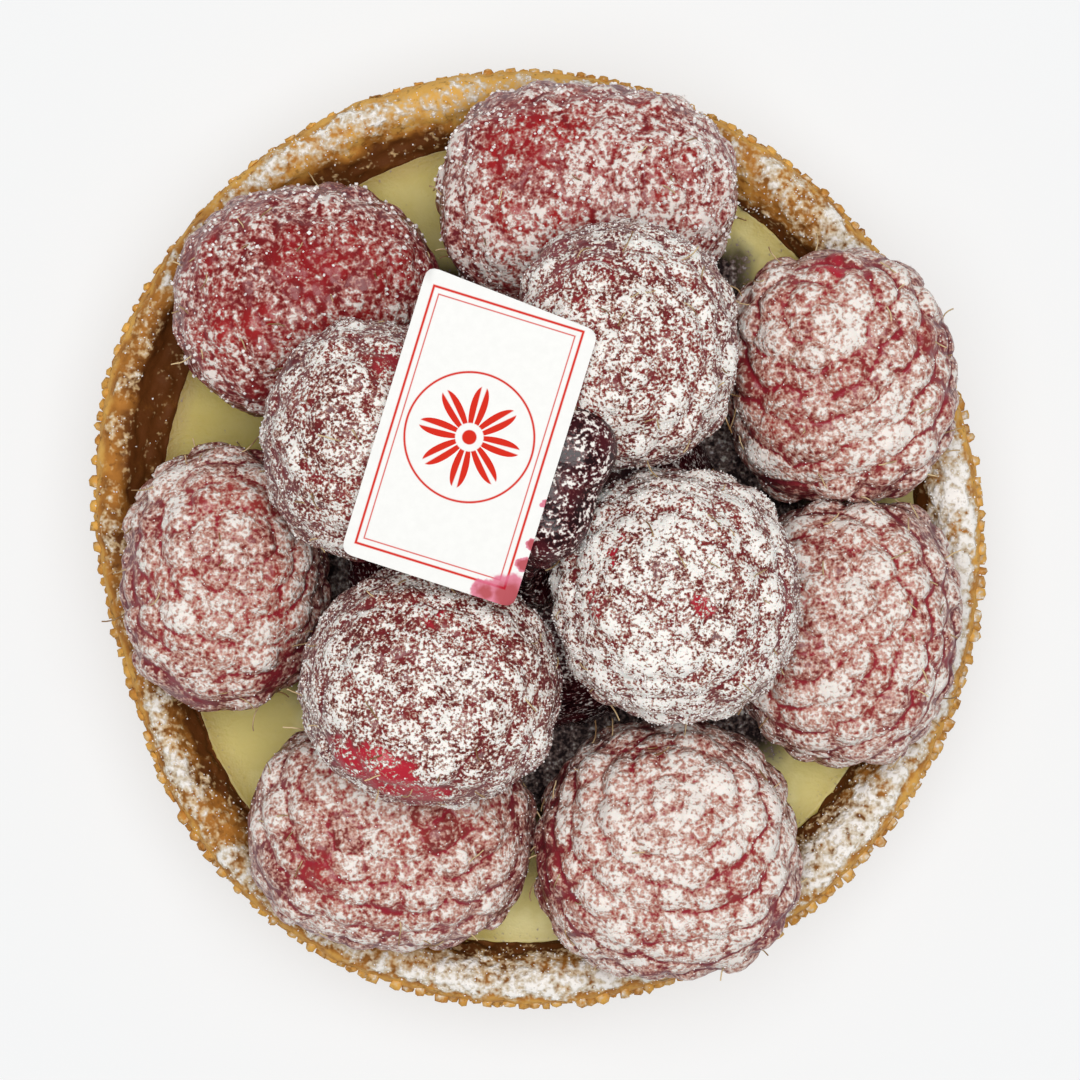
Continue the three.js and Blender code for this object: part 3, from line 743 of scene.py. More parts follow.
# %% Spin the cream
CREAM_COLUMNS, CREAM_REACH = 252, 31.0
CREAM_TOP_STEPS, CREAM_TOP_SHARE = 22, 0.9
cream_profile = [  # share of the reach, height: the underside, the side and where it climbs
    (0, 3.1), (0.5, 3.1), (1, 3.1), (1, 9), (1, 14.6), (1, 15.7), (1, 16.1), (0.985, 15.95),
    (0.965, 15.83), (0.94, 15.76),
]
cream_profile += [
    (share, 15.72 + 0.1 * (1 - share)) for share in np.linspace(CREAM_TOP_SHARE, 0, CREAM_TOP_STEPS)
]
section = [(share * CREAM_REACH, level) for share, level in cream_profile]
cream = spun("cream_filling", section, CREAM_COLUMNS)

# %% Fit the cream to the well
WELL_CORNER, LIP_CORNER, LIP_SHARE = 14, 13, 0.6  # the cream's level lies between these corners
CREAM_SINKS_IN = 0.25
CREAM_TOP_FROM = 15.5 * MM
SWELLS = [(6, 0.16, 5.0), (2.2, 0.05, 9.0)]  # size, height, shift of the noise
spots = points_of(cream)
bearing = np.arctan2(spots[:, 1], spots[:, 0])
corners = shell_section(bearing)
well_at_level = LIP_SHARE * corners[LIP_CORNER, 0] + (1 - LIP_SHARE) * corners[WELL_CORNER, 0]
share = np.hypot(spots[:, 0], spots[:, 1]) / (CREAM_REACH * MM)
fitted = share * (well_at_level + CREAM_SINKS_IN)
spots[:, 0] = fitted * np.cos(bearing) * MM
spots[:, 1] = fitted * np.sin(bearing) * MM
swell = sum(blotches(spots, size * MM, shift) * rise for size, rise, shift in SWELLS)
spots[:, 2] += np.where(spots[:, 2] > CREAM_TOP_FROM, swell * MM, 0)
move_points(cream, spots + shell_shift)
print("cream reaches", fitted.min().round(2), "to", fitted.max().round(2), "mm")

# %% [markdown]
# ### Cream with painted shade
# Bare cream shows between the berries and the shell. Painted shade darkens one side of it and its
# edge at the wall, and towards the berries, where the gaps are deep, it is painted nearly black as
# shade and dusted again. A picture of that would need a seam somewhere. A number for each point,
# from its distance to the middle, needs none.

# %% Where the cream gets painted shade and dust
GAP_SHADE_FROM, GAP_SHADE_TO = 26.5, 23.5  # inside this the cream is painted nearly black as shade between the berries
GAP_SHADE_RUNS = [(54, 6.0, 9), (-41, 3.0, 9)]  # bearing, how much further out the painted shade reaches, breadth
CREAM_EDGE_FROM, PALE_SIDE_WALL_SHADE = 0.92, 0.35  # share of the reach where the painted shade at the wall starts, and its share on the pale side
SIFTED, SIFTED_UNEVEN, WALL_DUST = 0.42, 0.20, 0.16
CREAM_SHADE_PLACE, CREAM_SHADE_SPREAD = math.radians(150), math.radians(75)
# painted shade where the cream meets the wall, strongest on the shaded side
cream_wall_shade = ramp(share + 0.01 * blotches(spots, 2 * MM, 31.0), CREAM_EDGE_FROM, 1.0)
from_middle = np.hypot(spots[:, 0], spots[:, 1]) / MM + 1.5 * blotches(spots, 3 * MM, 21.0)
for run_place, run_reach, run_breadth in GAP_SHADE_RUNS:
    from_middle -= run_reach * hump_at(bearing, math.radians(run_place), math.radians(run_breadth))
# painted shade in the deep gaps between the berries
cream_gap_shade = 1 - ramp(from_middle, GAP_SHADE_TO, GAP_SHADE_FROM)
give(cream, "juice_stain_and_shade", cream_gap_shade)
# painted shade: the cream is darker on one side
cream_shaded_side = hump_at(bearing, CREAM_SHADE_PLACE, CREAM_SHADE_SPREAD)
give(cream, "shaded_side", cream_shaded_side)
give(cream, "wall_shade", cream_wall_shade * at_least(PALE_SIDE_WALL_SHADE, cream_shaded_side))
sifted = SIFTED + SIFTED_UNEVEN * blotches(spots, 1.5 * MM, 3.0)
near_wall = WALL_DUST * ramp(share, CREAM_EDGE_FROM, 1.0)
give(cream, "sugar", np.clip(np.maximum(cream_gap_shade * sifted, near_wall), 0, 1))
print("stained share of the cream", cream_gap_shade.mean().round(3))

# %% Pale pastry cream
# the pale and deep colours are the cream's own; the shaded, wall and gap colours are painted shade
CREAM_PALE, CREAM_DEEP, CREAM_WALL_SHADE = paint(233, 222, 148), paint(213, 197, 106), paint(156, 128, 56)
CREAM_SHADED, CREAM_GAP_SHADE = paint(184, 162, 36), paint(30, 8, 10)
CREAM_FILM, SHADED_MOST = paint(128, 106, 100), 0.85
CREAM_ROUGHNESS, CREAM_SHINE, GAP_SHADE_SHINE = 0.42, 0.35, 0.05
CLOUD_SIZE = 2.4 * MM
cream_finish, cream_shader = plain_finish("pastry_cream", CREAM_PALE, CREAM_ROUGHNESS)
let_light_in(cream_shader, 0.15, (1, 0.7, 0.35), 1.2 * MM)
place = object_place(cream_finish)
cloud = noise_of(cream_finish, place, CLOUD_SIZE, 3, 0.55)
mottled = blend(cream_finish, spread(cream_finish, cloud, 0.38, 0.64), CREAM_DEEP, CREAM_PALE)
# painted shade on the darker side
shaded_share = maths(cream_finish, "MULTIPLY", attribute(cream_finish, "shaded_side"), SHADED_MOST)
shaded = blend(cream_finish, shaded_share, mottled, CREAM_SHADED)
# painted shade at the foot of the wall
wall_shaded = blend(cream_finish, attribute(cream_finish, "wall_shade"), shaded, CREAM_WALL_SHADE)
# painted shade: nearly black in the deep gaps between the berries, with less shine there
juice_stain_and_shade = blend(cream_finish, attribute(cream_finish, "juice_stain_and_shade"), wall_shaded, CREAM_GAP_SHADE)
dust(cream_finish, place, juice_stain_and_shade, CREAM_FILM, CREAM_ROUGHNESS, attribute(cream_finish, "sugar"),
     (0.18 * MM, 1.7), (0.5 * MM, 1.1))
gap_shaded = attribute(cream_finish, "juice_stain_and_shade")
shine = spread(cream_finish, gap_shaded, 0.0, 1.0, CREAM_SHINE, GAP_SHADE_SHINE)
cream_finish.node_tree.links.new(shine, cream_shader.inputs["Specular IOR Level"])
stand_for(cream, cream_finish, "cream", "cream")

# %% [markdown]
# ## The raspberries
# A raspberry is a hollow cap of small round drupelets, set in rings about its tip. Here every berry
# starts as a ball that is shrunk onto its solid and smoothed, so it keeps the solid's place, size
# and the flats where it presses on its neighbours. One drupelet is modelled and copied onto that
# core in staggered rings, and a voxel remesh melts core and copies into one skin, which leaves the
# soft creases that a subdivided ball never gets.

# %% What each berry is like
# tip: bearing and elevation; sugar: share of white; creases: how clearly they show; uneven: how
# much the sugar differs from drupelet to drupelet; bare: red places, each with its bearing,
# elevation, spread and strength
BERRIES = {
    "far": {"tip": (10, 30), "sugar": 0.61, "creases": 0.35, "uneven": 0.05,
            "bare": [(137, 45, 24, 0.5), (160, 62, 16, 0.4)]},
    "far_left": {"tip": (15, 25), "sugar": 0.51, "creases": 0.15, "uneven": 0.04,
                 "bare": [(80, 72, 26, 0.5), (20, 50, 14, 0.35), (200, 60, 16, 0.35)]},
    "left": {"tip": (60, 62), "sugar": 0.575, "creases": 0.55, "uneven": 0.06,
             "bare": [(250, 12, 14, 0.6), (300, 15, 14, 0.5), (100, 50, 10, 0.4)]},
    "near_left": {"tip": (80, 58), "sugar": 0.58, "creases": 0.5, "uneven": 0.06,
                  "bare": [(200, 45, 12, 0.5)]},
    "near_right": {"tip": (80, 62), "sugar": 0.655, "creases": 0.85, "uneven": 0.05,
                   "bare": [(-38, 12, 14, 0.6), (190, 10, 20, 0.6), (260, 10, 12, 0.4)]},
    "right": {"tip": (165, 60), "sugar": 0.62, "creases": 0.80, "uneven": 0.06,
              "bare": [(-10, 18, 14, 0.6), (-50, 35, 10, 0.4)]},
    "far_right": {"tip": (120, 55), "sugar": 0.575, "creases": 0.95, "uneven": 0.08,
                  "bare": [(100, 32, 12, 0.8), (-20, 22, 12, 0.6), (-70, 18, 14, 0.4)]},
    "top_left": {"tip": (150, 72), "sugar": 0.56, "creases": 0.30, "uneven": 0.06,
                 "bare": [(60, 45, 22, 0.55), (320, 30, 12, 0.5), (215, 50, 14, 0.45)]},
    "top_near": {"tip": (250, 70), "sugar": 0.61, "creases": 0.45, "uneven": 0.06,
                 "bare": [(243, 37, 22, 1.0), (222, 32, 14, 0.9), (264, 29, 15, 0.9), (83, 53, 4, 0.8),
                          (120, 50, 20, 0.35)]},
    "top_right": {"tip": (180, 75), "sugar": 0.72, "creases": 0.60, "uneven": 0.07,
                  "bare": [(147, 52, 6, 0.8), (190, 48, 7, 0.6), (-24, 77, 5, 0.7), (0, 30, 8, 0.5)]},
    "top_far": {"tip": (200, 70), "sugar": 0.66, "creases": 0.45, "uneven": 0.07,
                "bare": [(130, 12, 14, 0.7), (125, 45, 26, 0.45)]},
}


def way_of(bearing_degrees, elevation_degrees):
    bearing_angle, elevation = math.radians(bearing_degrees), math.radians(elevation_degrees)
    flat = math.cos(elevation)
    return Vector((flat * math.cos(bearing_angle), flat * math.sin(bearing_angle), math.sin(elevation)))


# %% The core, shrunk onto the solid
def berry_core(node):
    low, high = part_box(node)
    middle, reach = (low + high) / 2, (high - low).length / 2
    bpy.ops.object.select_all(action="DESELECT")
    bpy.ops.mesh.primitive_ico_sphere_add(subdivisions=5, radius=reach, location=middle)
    core = bpy.context.object
    settle(core)
    modify(core, "SHRINKWRAP", target=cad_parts[node], wrap_method="PROJECT",
           use_negative_direction=True, use_positive_direction=False)
    modify(core, "SMOOTH", factor=0.5, iterations=14)
    return core, middle


# %% Rings of drupelets
DRUPELET_WIDTH, DRUPELET_ROW = 3.9, 2.7  # along its ring, and from ring to ring
DRUPELET_HALF = Vector((DRUPELET_WIDTH * 0.60, DRUPELET_ROW * 0.62, 1.35))  # so that they overlap
DRUPELET_BULKS, DRUPELET_STANDS = (0.80, 1.14), (0.45, 1.3)  # times the usual size and height
SWING_ROUND, SWING_ACROSS = 0.26, 0.24  # shares of a step

bpy.ops.object.select_all(action="DESELECT")
bpy.ops.mesh.primitive_ico_sphere_add(subdivisions=2, radius=1, location=(0, 0, 0))
drupelet = bpy.context.object
drupelet.name = "drupelet"


def drupelet_places(core, middle, tip, proud, draws):
    """Where each drupelet goes: rings about the tip, every other one half a step round."""
    radius = np.abs(points_of(core) - np.array(middle)).max(0).mean() / MM
    rows = round(math.pi * radius / DRUPELET_ROW)
    to_tip = Vector((0, 0, 1)).rotation_difference(tip)
    places, rings = [], []
    for row in range(rows):
        from_tip = (row + 0.5) * math.pi / rows
        count = max(3, round(2 * math.pi * math.sin(from_tip) * radius / DRUPELET_WIDTH))
        rings += [row] * count
        for step in range(count):
            swing = draws.uniform(-SWING_ROUND, SWING_ROUND)
            angle = (step + row % 2 / 2 + swing) * 2 * math.pi / count
            polar = from_tip + draws.uniform(-SWING_ACROSS, SWING_ACROSS) * math.pi / rows
            flat = math.sin(polar)
            way = Vector((flat * math.cos(angle), flat * math.sin(angle), math.cos(polar)))
            way.rotate(to_tip)
            _, spot, normal, _ = core.ray_cast(middle, way)
            along_ring = tip.cross(way).normalized()
            across = normal.cross(along_ring).normalized()
            turn = Matrix((along_ring, across, normal)).transposed().to_4x4()
            size = DRUPELET_HALF * draws.uniform(*DRUPELET_BULKS) * MM
            sunk = spot + normal * (proud * MM * draws.uniform(*DRUPELET_STANDS) - size.z)
            places.append(Matrix.Translation(sunk) @ turn @ Matrix.Diagonal((*size, 1)))
    return places, np.array(rings)


# %% Borders between the drupelets
def borders_of(berry, places, rings):
    """For each point: its drupelet, how far the border is, and whether both sides are one ring."""
    spots = np.c_[points_of(berry), np.ones(len(berry.data.vertices))]
    inside = np.einsum("nij,vj->nvi", np.linalg.inv(np.array(places)), spots)[..., :3]
    away = np.linalg.norm(inside, axis=2)
    pair = np.argpartition(away, 1, axis=0)[:2]
    here, there = np.take_along_axis(away, pair, axis=0)
    own = np.where(here < there, *pair)
    return own, np.abs(here - there), rings[pair[0]] == rings[pair[1]]


# %% Core and drupelets in one skin
VOXEL = 0.24 * MM
DRUPELET_PROUD, PROUD_PER_CREASE = 0.42, 0.20  # a berry with clear creases has prouder drupelets
CREASE_DEPTH, CREASE_IN_RING = 0.15, 0.5  # within a ring the creases are fainter
CREASE_SIDES = (0.02, 0.25)  # from its bottom to its edge, in drupelets


def shaped_raspberry(name, look, seed):
    """The berry, its middle and, for each point, its drupelet's lot of sugar, border and crease."""
    core, middle = berry_core("raspberry_" + name)
    draws = np.random.default_rng(seed)
    proud = DRUPELET_PROUD + PROUD_PER_CREASE * look["creases"]
    places, rings = drupelet_places(core, middle, way_of(*look["tip"]), proud, draws)
    berry = copies("sugared_raspberry_" + name, drupelet, places)
    join(berry, core)
    modify(berry, "REMESH", mode="VOXEL", voxel_size=VOXEL)
    modify(berry, "SMOOTH", factor=0.5, iterations=4)
    spots, normals = points_of(berry), normals_of(berry)
    own, border, same_ring = borders_of(berry, places, rings)
    crease = 1 - ramp(border + 0.10 * blotches(spots, 0.6 * MM, seed), *CREASE_SIDES)
    crease *= np.where(same_ring, CREASE_IN_RING, 1)
    depth = CREASE_DEPTH * MM * look["creases"] * crease
    move_points(berry, spots - normals * depth[:, None])
    roughen(berry, 1.3 * MM, 0.10 * MM, shift=seed)
    roughen(berry, 0.55 * MM, 0.07 * MM, shift=seed + 0.5)
    lots = draws.normal(0, look["uneven"], len(places))[own]
    return berry, middle, lots, border, crease


# %% [markdown]
# ### Where the sugar lies
# Sugar sifted from above covers a berry's top, thins out underneath and slides off the steep sides,
# so creases show there. Juice comes through in patches and melts it. Real berries differ, which one
# even dusting would lose: each point gets its own amount, from the berry's share, the drupelet's own
# share, slow and quick noise, its slope and the bare places.

# %% Bare places and clear creases
BARE_EDGE = (0.5, 1.3)  # of a bare place's spread
BARE_WANDER = [(9, 2.4, 2.0), (6, 0.9, 3.0)]  # degrees, size, shift of the noise
FLAT_CLEAR, BETWEEN_PATCHES_CLEAR, INNER_CLEAR = 0.3, 0.3, 0.6  # of the clearness elsewhere
TIP_LOSS = 0.6


def bare_share(look, spots, ways, seed):
    """How bare each point is, 0 to 1. The ways lead from the berry's middle to its points."""
    bare = np.zeros(len(spots))
    for bearing_degrees, elevation, spread_degrees, strength in look["bare"]:
        centre = np.array(way_of(bearing_degrees, elevation))
        off = np.degrees(np.arccos(np.clip(ways @ centre, -1, 1)))
        for degrees, size, shift in BARE_WANDER:
            off += degrees * blotches(spots, size * MM, seed + shift)
        nearest, farthest = (spread_degrees * share for share in BARE_EDGE)
        bare = np.maximum(bare, strength * (1 - ramp(off, nearest, farthest)))
    return bare


def crease_clearness(look, middle, spots, normals, ways, seed):
    """How clearly the creases show at each point: on slopes, in patches and on the outer side."""
    on_slope = 1 - ramp(normals[:, 2], 0.55, 0.95)
    in_patches = ramp(blotches(spots, 5 * MM, seed + 8.0), -0.35, 0.25)
    outwards = Vector((middle.x, middle.y, 0)).normalized()
    outer_side = ramp(ways @ np.array(outwards), -0.4, 0.6)
    at_tip = ramp(ways @ np.array(way_of(*look["tip"])), 0.7, 0.95)
    clear = look["creases"] * at_least(FLAT_CLEAR, on_slope)
    clear = clear * at_least(BETWEEN_PATCHES_CLEAR, in_patches) * at_least(INNER_CLEAR, outer_side)
    return clear * (1 - TIP_LOSS * at_tip)


# %% One berry
PATCHY_HIGH, PATCHY_LOW = 0.20, 0.11  # how much the sugar's share wanders
DRIFTS_ACROSS, KNOTS_ACROSS, DRIFTS_WEIGHT = 4.5 * MM, 1.4 * MM, 0.7
UNDERSIDE_SUGAR = 0.55  # of the sugar on top
BARE_LOSS = 0.68  # share of the sugar that a bare place has lost
BORDER_SUGAR = 0.10


def raspberry(name, look, seed):
    berry, middle, lots, border, crease = shaped_raspberry(name, look, seed)
    spots, normals = points_of(berry), normals_of(berry)
    ways = spots - np.array(middle)
    ways /= np.linalg.norm(ways, axis=1)[:, None]
    bare = bare_share(look, spots, ways, seed)
    clear = crease_clearness(look, middle, spots, normals, ways, seed)
    patchy = PATCHY_HIGH if name.startswith("top") else PATCHY_LOW
    drifts = blotches(spots, DRIFTS_ACROSS, seed + 4.0)
    knots = blotches(spots, KNOTS_ACROSS, seed + 6.0)
    facing = ramp(0.5 * normals[:, 2] + 0.5 * ways[:, 2], -0.25, 0.5)
    sugar = look["sugar"] + patchy * (DRIFTS_WEIGHT * drifts + knots) + lots
    sugar += BORDER_SUGAR * (ramp(border, 0.1, 0.8) - 0.5)
    sugar *= at_least(UNDERSIDE_SUGAR, facing)
    sugar = sugar * (1 - BARE_LOSS * bare) - clear * crease
    give(berry, "sugar", np.clip(sugar, 0, 1))
    give(berry, "crease", crease)
    give(berry, "bare", ramp(bare, 0.25, 0.9))
    # how low on the berry a point lies, where the skin's finish paints shade
    give(berry, "flank", 1 - ramp(ways[:, 2], 0.15, 0.75))
    return berry


# %% [markdown]
# ### Skin under sugar
# Where the sugar is thin the skin shows: dark red, brighter in the bare places, deepest in the
# creases, and purple low down, which is painted shade where little light gets in. Three sets of
# colours could be three materials built apart. One function builds all three, so the high berries,
# the low ones and the two whose sugar has begun to melt stay alike in all else.

# %% The berries' finish
# the purple of painted shade low on the berries
SHADE_PURPLE, SHADE_PURPLE_MOST = paint(92, 32, 42), 0.75
BERRY_ROUGHNESS, BERRY_SHINE, TINT_SIZE = 0.32, 0.3, 2.6 * MM


def berry_skin(name, tones, crease, bare, film, white, grains, clumps):
    """Colours of the skin, its creases and bare places, then the sugar's, with grain and clump."""
    finish, shader = plain_finish(name, tones[1], BERRY_ROUGHNESS)
    let_light_in(shader, 0.1, (1, 0.25, 0.2), 1.2 * MM)
    shader.inputs["Specular IOR Level"].default_value = BERRY_SHINE
    place = object_place(finish)
    tint = noise_of(finish, place, TINT_SIZE, 2, 0.5)
    toned = blend(finish, spread(finish, tint, 0.35, 0.65), *tones)
    creased = blend(finish, attribute(finish, "crease"), toned, crease)
    glowing = blend(finish, attribute(finish, "bare"), creased, bare)
    # painted shade: purple low down on the berry
    shade_purple = maths(finish, "MULTIPLY", attribute(finish, "flank"), SHADE_PURPLE_MOST)
    skin = blend(finish, shade_purple, glowing, SHADE_PURPLE)
    sugar = attribute(finish, "sugar")
    dust(finish, place, skin, film, BERRY_ROUGHNESS, sugar, grains, clumps, white)
    return finish


high_skin = berry_skin(
    "sugared_high_raspberry", tones=(paint(92, 32, 30), paint(128, 40, 40)),
    crease=paint(118, 32, 38), bare=paint(184, 36, 54), film=paint(188, 146, 130),
    white=SUGAR_WHITE, grains=(0.14 * MM, 4.2), clumps=(0.5 * MM, 2.6))
low_skin = berry_skin(
    "sugared_low_raspberry", tones=(paint(124, 44, 42), paint(156, 54, 50)),
    crease=paint(150, 34, 48), bare=paint(184, 36, 54), film=paint(196, 148, 132),
    white=paint(241, 234, 227), grains=(0.2 * MM, 2.1), clumps=(0.46 * MM, 1.2))
moist_skin = berry_skin(
    "moist_raspberry", tones=(paint(112, 22, 24), paint(158, 30, 32)),
    crease=paint(120, 24, 30), bare=paint(184, 22, 32), film=paint(180, 118, 108),
    white=paint(236, 226, 219), grains=(0.2 * MM, 2.4), clumps=(0.42 * MM, 1.8))
print("skins:", high_skin.name, low_skin.name, moist_skin.name)

# %% All eleven berries
MOIST = ("far", "far_left")  # the sugar has begun to melt on these
berries = {}
for seed, (name, look) in enumerate(BERRIES.items(), start=61):
    berry = raspberry(name, look, seed)
    skin = high_skin if name.startswith("top") else moist_skin if name in MOIST else low_skin
    stand_for(berry, skin, "raspberry", "raspberry_" + name)
    berries[name] = berry
    solid = np.array(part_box("raspberry_" + name)) / MM
    made = np.array((points_of(berry).min(0), points_of(berry).max(0))) / MM
    print("   box off by", (made - solid).round(2).tolist())
bpy.data.objects.remove(drupelet)

# %% [markdown]
# ## The jam
# Dark jam fills the middle and stands up between the four high berries, where it shows beside the
# card. It is wet: smooth, nearly black and shiny. A copy of its solid is remeshed and smoothed, and
# two soft lobes are melted into its top.

# %% Jam from its solid
def copy_of_solid(name, node):
    """A copy of a solid with its loose triangles merged."""
    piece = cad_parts[node].copy()
    piece.data = piece.data.copy()
    piece.name = name
    for key in list(piece.keys()):
        del piece[key]
    piece.parent = None
    bpy.context.collection.objects.link(piece)
    close_up(piece)
    return piece


JAM_LOBES = [  # place, half sizes
    ((2.6, 7.2, 46.4), (3.9, 4.0, 3.0)),
    ((0.7, 1.5, 45.9), (3.6, 3.4, 2.8)),
]
JAM_VOXEL, JAM_WAVES, JAM_WAVE_HEIGHT = 0.4 * MM, 2.2 * MM, 0.22 * MM
JAM_SPECKS, JAM_SPECKS_UNEVEN, JAM_DEPTHS_SHARE = 0.42, 0.30, 0.75
JAM_DEPTHS = (36 * MM, 42 * MM)
jam = copy_of_solid("raspberry_jam", "jam")
lobes = []
for place, half in JAM_LOBES:
    at = Vector(place) * MM
    bpy.ops.object.select_all(action="DESELECT")
    bpy.ops.mesh.primitive_ico_sphere_add(subdivisions=4, radius=MM, location=at, scale=half)
    settle(bpy.context.object)
    lobes.append(bpy.context.object)
join(jam, *lobes)
modify(jam, "REMESH", mode="VOXEL", voxel_size=JAM_VOXEL)
modify(jam, "SMOOTH", factor=0.5, iterations=6)
roughen(jam, JAM_WAVES, JAM_WAVE_HEIGHT, shift=2.2)
jam_up = ramp(normals_of(jam)[:, 2], -0.1, 0.8)
jam_specks = JAM_SPECKS + JAM_SPECKS_UNEVEN * blotches(points_of(jam), 1.6 * MM, 8.0)
jam_deep = JAM_DEPTHS_SHARE * (1 - ramp(points_of(jam)[:, 2], *JAM_DEPTHS))
give(jam, "sugar", np.clip(np.maximum(jam_up, jam_deep) * jam_specks, 0, 1))
print("jam with", len(lobes), "lobes,", len(jam.data.vertices), "points")

# %% Wet dark jam
JAM_DARK, JAM_RED, JAM_FILM = paint(30, 8, 12), paint(72, 20, 28), paint(112, 62, 62)
JAM_ROUGHNESS, JAM_SHINE = 0.25, 0.25
jam_finish, jam_shader = plain_finish("dark_jam", JAM_RED, JAM_ROUGHNESS)
jam_shader.inputs["Specular IOR Level"].default_value = JAM_SHINE
place = object_place(jam_finish)
depth = noise_of(jam_finish, place, 1.5 * MM, 2, 0.5)
jam_colour = blend(jam_finish, spread(jam_finish, depth, 0.35, 0.65), JAM_DARK, JAM_RED)
dust(jam_finish, place, jam_colour, JAM_FILM, JAM_ROUGHNESS, attribute(jam_finish, "sugar"),
     (0.18 * MM, 4.4), (0.7 * MM, 1.0))
stand_for(jam, jam_finish, "jam", "jam")

# %% [markdown]
# ## The card
# A stiff paper card with rounded corners lies on the top berries and bows a little. A copy of its
# solid has only the corners, so it is cut across and along, which gives it points to bow by. The
# same points take flat coordinates of their own, on which its print is then drawn.

# %% Card from its solid
CARD_CORNERS = np.array([(-8.6, 22.3), (5.3, 16.9), (-1.7, -5.7), (-15.8, -1.1)])
CARD_BOW, CARD_TWIST = 0.35, 0.25
CARD_CUTS = 14
card = copy_of_solid("paper_card", "card")
card_middle = (points_of(card).max(0) + points_of(card).min(0)) / 2
lengthwise = (CARD_CORNERS[0] + CARD_CORNERS[1] - CARD_CORNERS[2] - CARD_CORNERS[3]) / 2
card_length = np.linalg.norm(lengthwise)
card_width = np.linalg.norm(CARD_CORNERS[1] - CARD_CORNERS[0])
long_way = lengthwise / card_length
cross_way = np.array([long_way[1], -long_way[0]])
for direction, extent in ((long_way, card_length), (cross_way, card_width)):
    for cut in range(1, CARD_CUTS):
        offset = (cut / CARD_CUTS - 0.5) * extent * MM
        at = (card_middle[0] + direction[0] * offset, card_middle[1] + direction[1] * offset, 0)
        open_all(card)
        bpy.ops.mesh.bisect(plane_co=at, plane_no=(*direction, 0))
        bpy.ops.object.mode_set(mode="OBJECT")
print("card", card_width.round(2), "by", card_length.round(2), "mm,", len(card.data.polygons), "faces")

# %% The bow and the card's own coordinates
card_points = points_of(card)
from_middle = card_points[:, :2] - card_middle[:2]
u = from_middle @ cross_way / (card_width / 2 * MM)
v = from_middle @ long_way / (card_length / 2 * MM)
card_points[:, 2] += CARD_BOW * MM * (0.5 * (1 - v ** 2) - CARD_TWIST * v * u)
move_points(card, card_points)
sheet = card.data.uv_layers.new(name="print")
for loop in card.data.loops:
    sheet.data[loop.index].uv = (u[loop.vertex_index], v[loop.vertex_index])
print("across from", u.min().round(2), "to", u.max().round(2))

# %% [markdown]
# ### Print and juice
# The print is a plain ornament, a thin double frame round an eight-petalled rosette, and the near
# right corner has drunk juice. Both could be an image laid on the card. Drawn by sums, they stay
# sharp from near by: a line is where the distance from the edge has one value, a petal is where the
# distance from the middle is under a wave that swings with the bearing, and a stain is where the
# distance from a wet spot, made to wander by noise, is short.

# %% Paper
PAPER, PAPER_SHADE, INK = paint(243, 243, 240), paint(240, 240, 237), paint(212, 38, 18)
card_finish, card_shader = plain_finish("printed_card", PAPER, 0.6)
card_shader.inputs["Specular IOR Level"].default_value = 0.1


def card_sum(operation, *values):
    """One step of arithmetic in the card's finish."""
    return maths(card_finish, operation, *values)


def distance(off_x, off_y):
    """How far from a spot, when it is that far across and that far up."""
    squares = card_sum("MULTIPLY_ADD", off_x, off_x, card_sum("MULTIPLY", off_y, off_y))
    return card_sum("SQRT", squares)


def band(value, middle, half, soft=0.06):
    """1 where value is within half of middle, 0 elsewhere, in millimetres on the card."""
    off = card_sum("ABSOLUTE", card_sum("SUBTRACT", value, middle))
    return spread(card_finish, off, half + soft, half - soft)


flat_place = add_node(card_finish, "ShaderNodeUVMap", {}, uv_map="print").outputs["UV"]
split = add_node(card_finish, "ShaderNodeSeparateXYZ", {"Vector": flat_place})
across = card_sum("MULTIPLY", split.outputs[0], card_width / 2)
upward = card_sum("MULTIPLY", split.outputs[1], card_length / 2)
print("print reaches", card_width / 2, "by", card_length / 2, "mm from the middle")

# %% Frame and rosette
FRAME_LINES = [(1.1, 0.10), (1.65, 0.05)]  # distance from the edge, half width
PETALS, PETAL_REACH, PETAL_NOTCH, PETAL_SOFT = 8, 4.3, 0.9, 0.06
VEIN, VEIN_SOFT = 0.02, 0.012
RING_REACH, RING_HALF = 5.3, 0.09
HEART_EDGE, PIP_EDGE = (1.22, 1.1), (0.66, 0.54)

from_side = card_sum("SUBTRACT", card_width / 2, card_sum("ABSOLUTE", across))
from_end = card_sum("SUBTRACT", card_length / 2, card_sum("ABSOLUTE", upward))
from_edge = card_sum("MINIMUM", from_side, from_end)
from_centre = distance(across, upward)
turned = card_sum("MULTIPLY", card_sum("ARCTAN2", upward, across), PETALS / 2)
wave = card_sum("ABSOLUTE", card_sum("COSINE", turned))
petal_edge = card_sum("MULTIPLY_ADD", wave, PETAL_REACH - PETAL_NOTCH, PETAL_NOTCH)
past_petal = card_sum("SUBTRACT", from_centre, petal_edge)
petal = spread(card_finish, past_petal, PETAL_SOFT, -PETAL_SOFT)
beside_vein = card_sum("SUBTRACT", 1.0, band(wave, 1.0, VEIN, VEIN_SOFT))
outside_heart = card_sum("SUBTRACT", 1.0, spread(card_finish, from_centre, *HEART_EDGE))
petals = card_sum("MULTIPLY", card_sum("MULTIPLY", petal, beside_vein), outside_heart)
marks = [spread(card_finish, from_centre, *PIP_EDGE), band(from_centre, RING_REACH, RING_HALF)]
marks += [band(from_edge, inset, half) for inset, half in FRAME_LINES]
inked = petals
for mark in marks:
    inked = card_sum("MAXIMUM", inked, mark)
print(PETALS, "petals and", len(marks), "other marks")

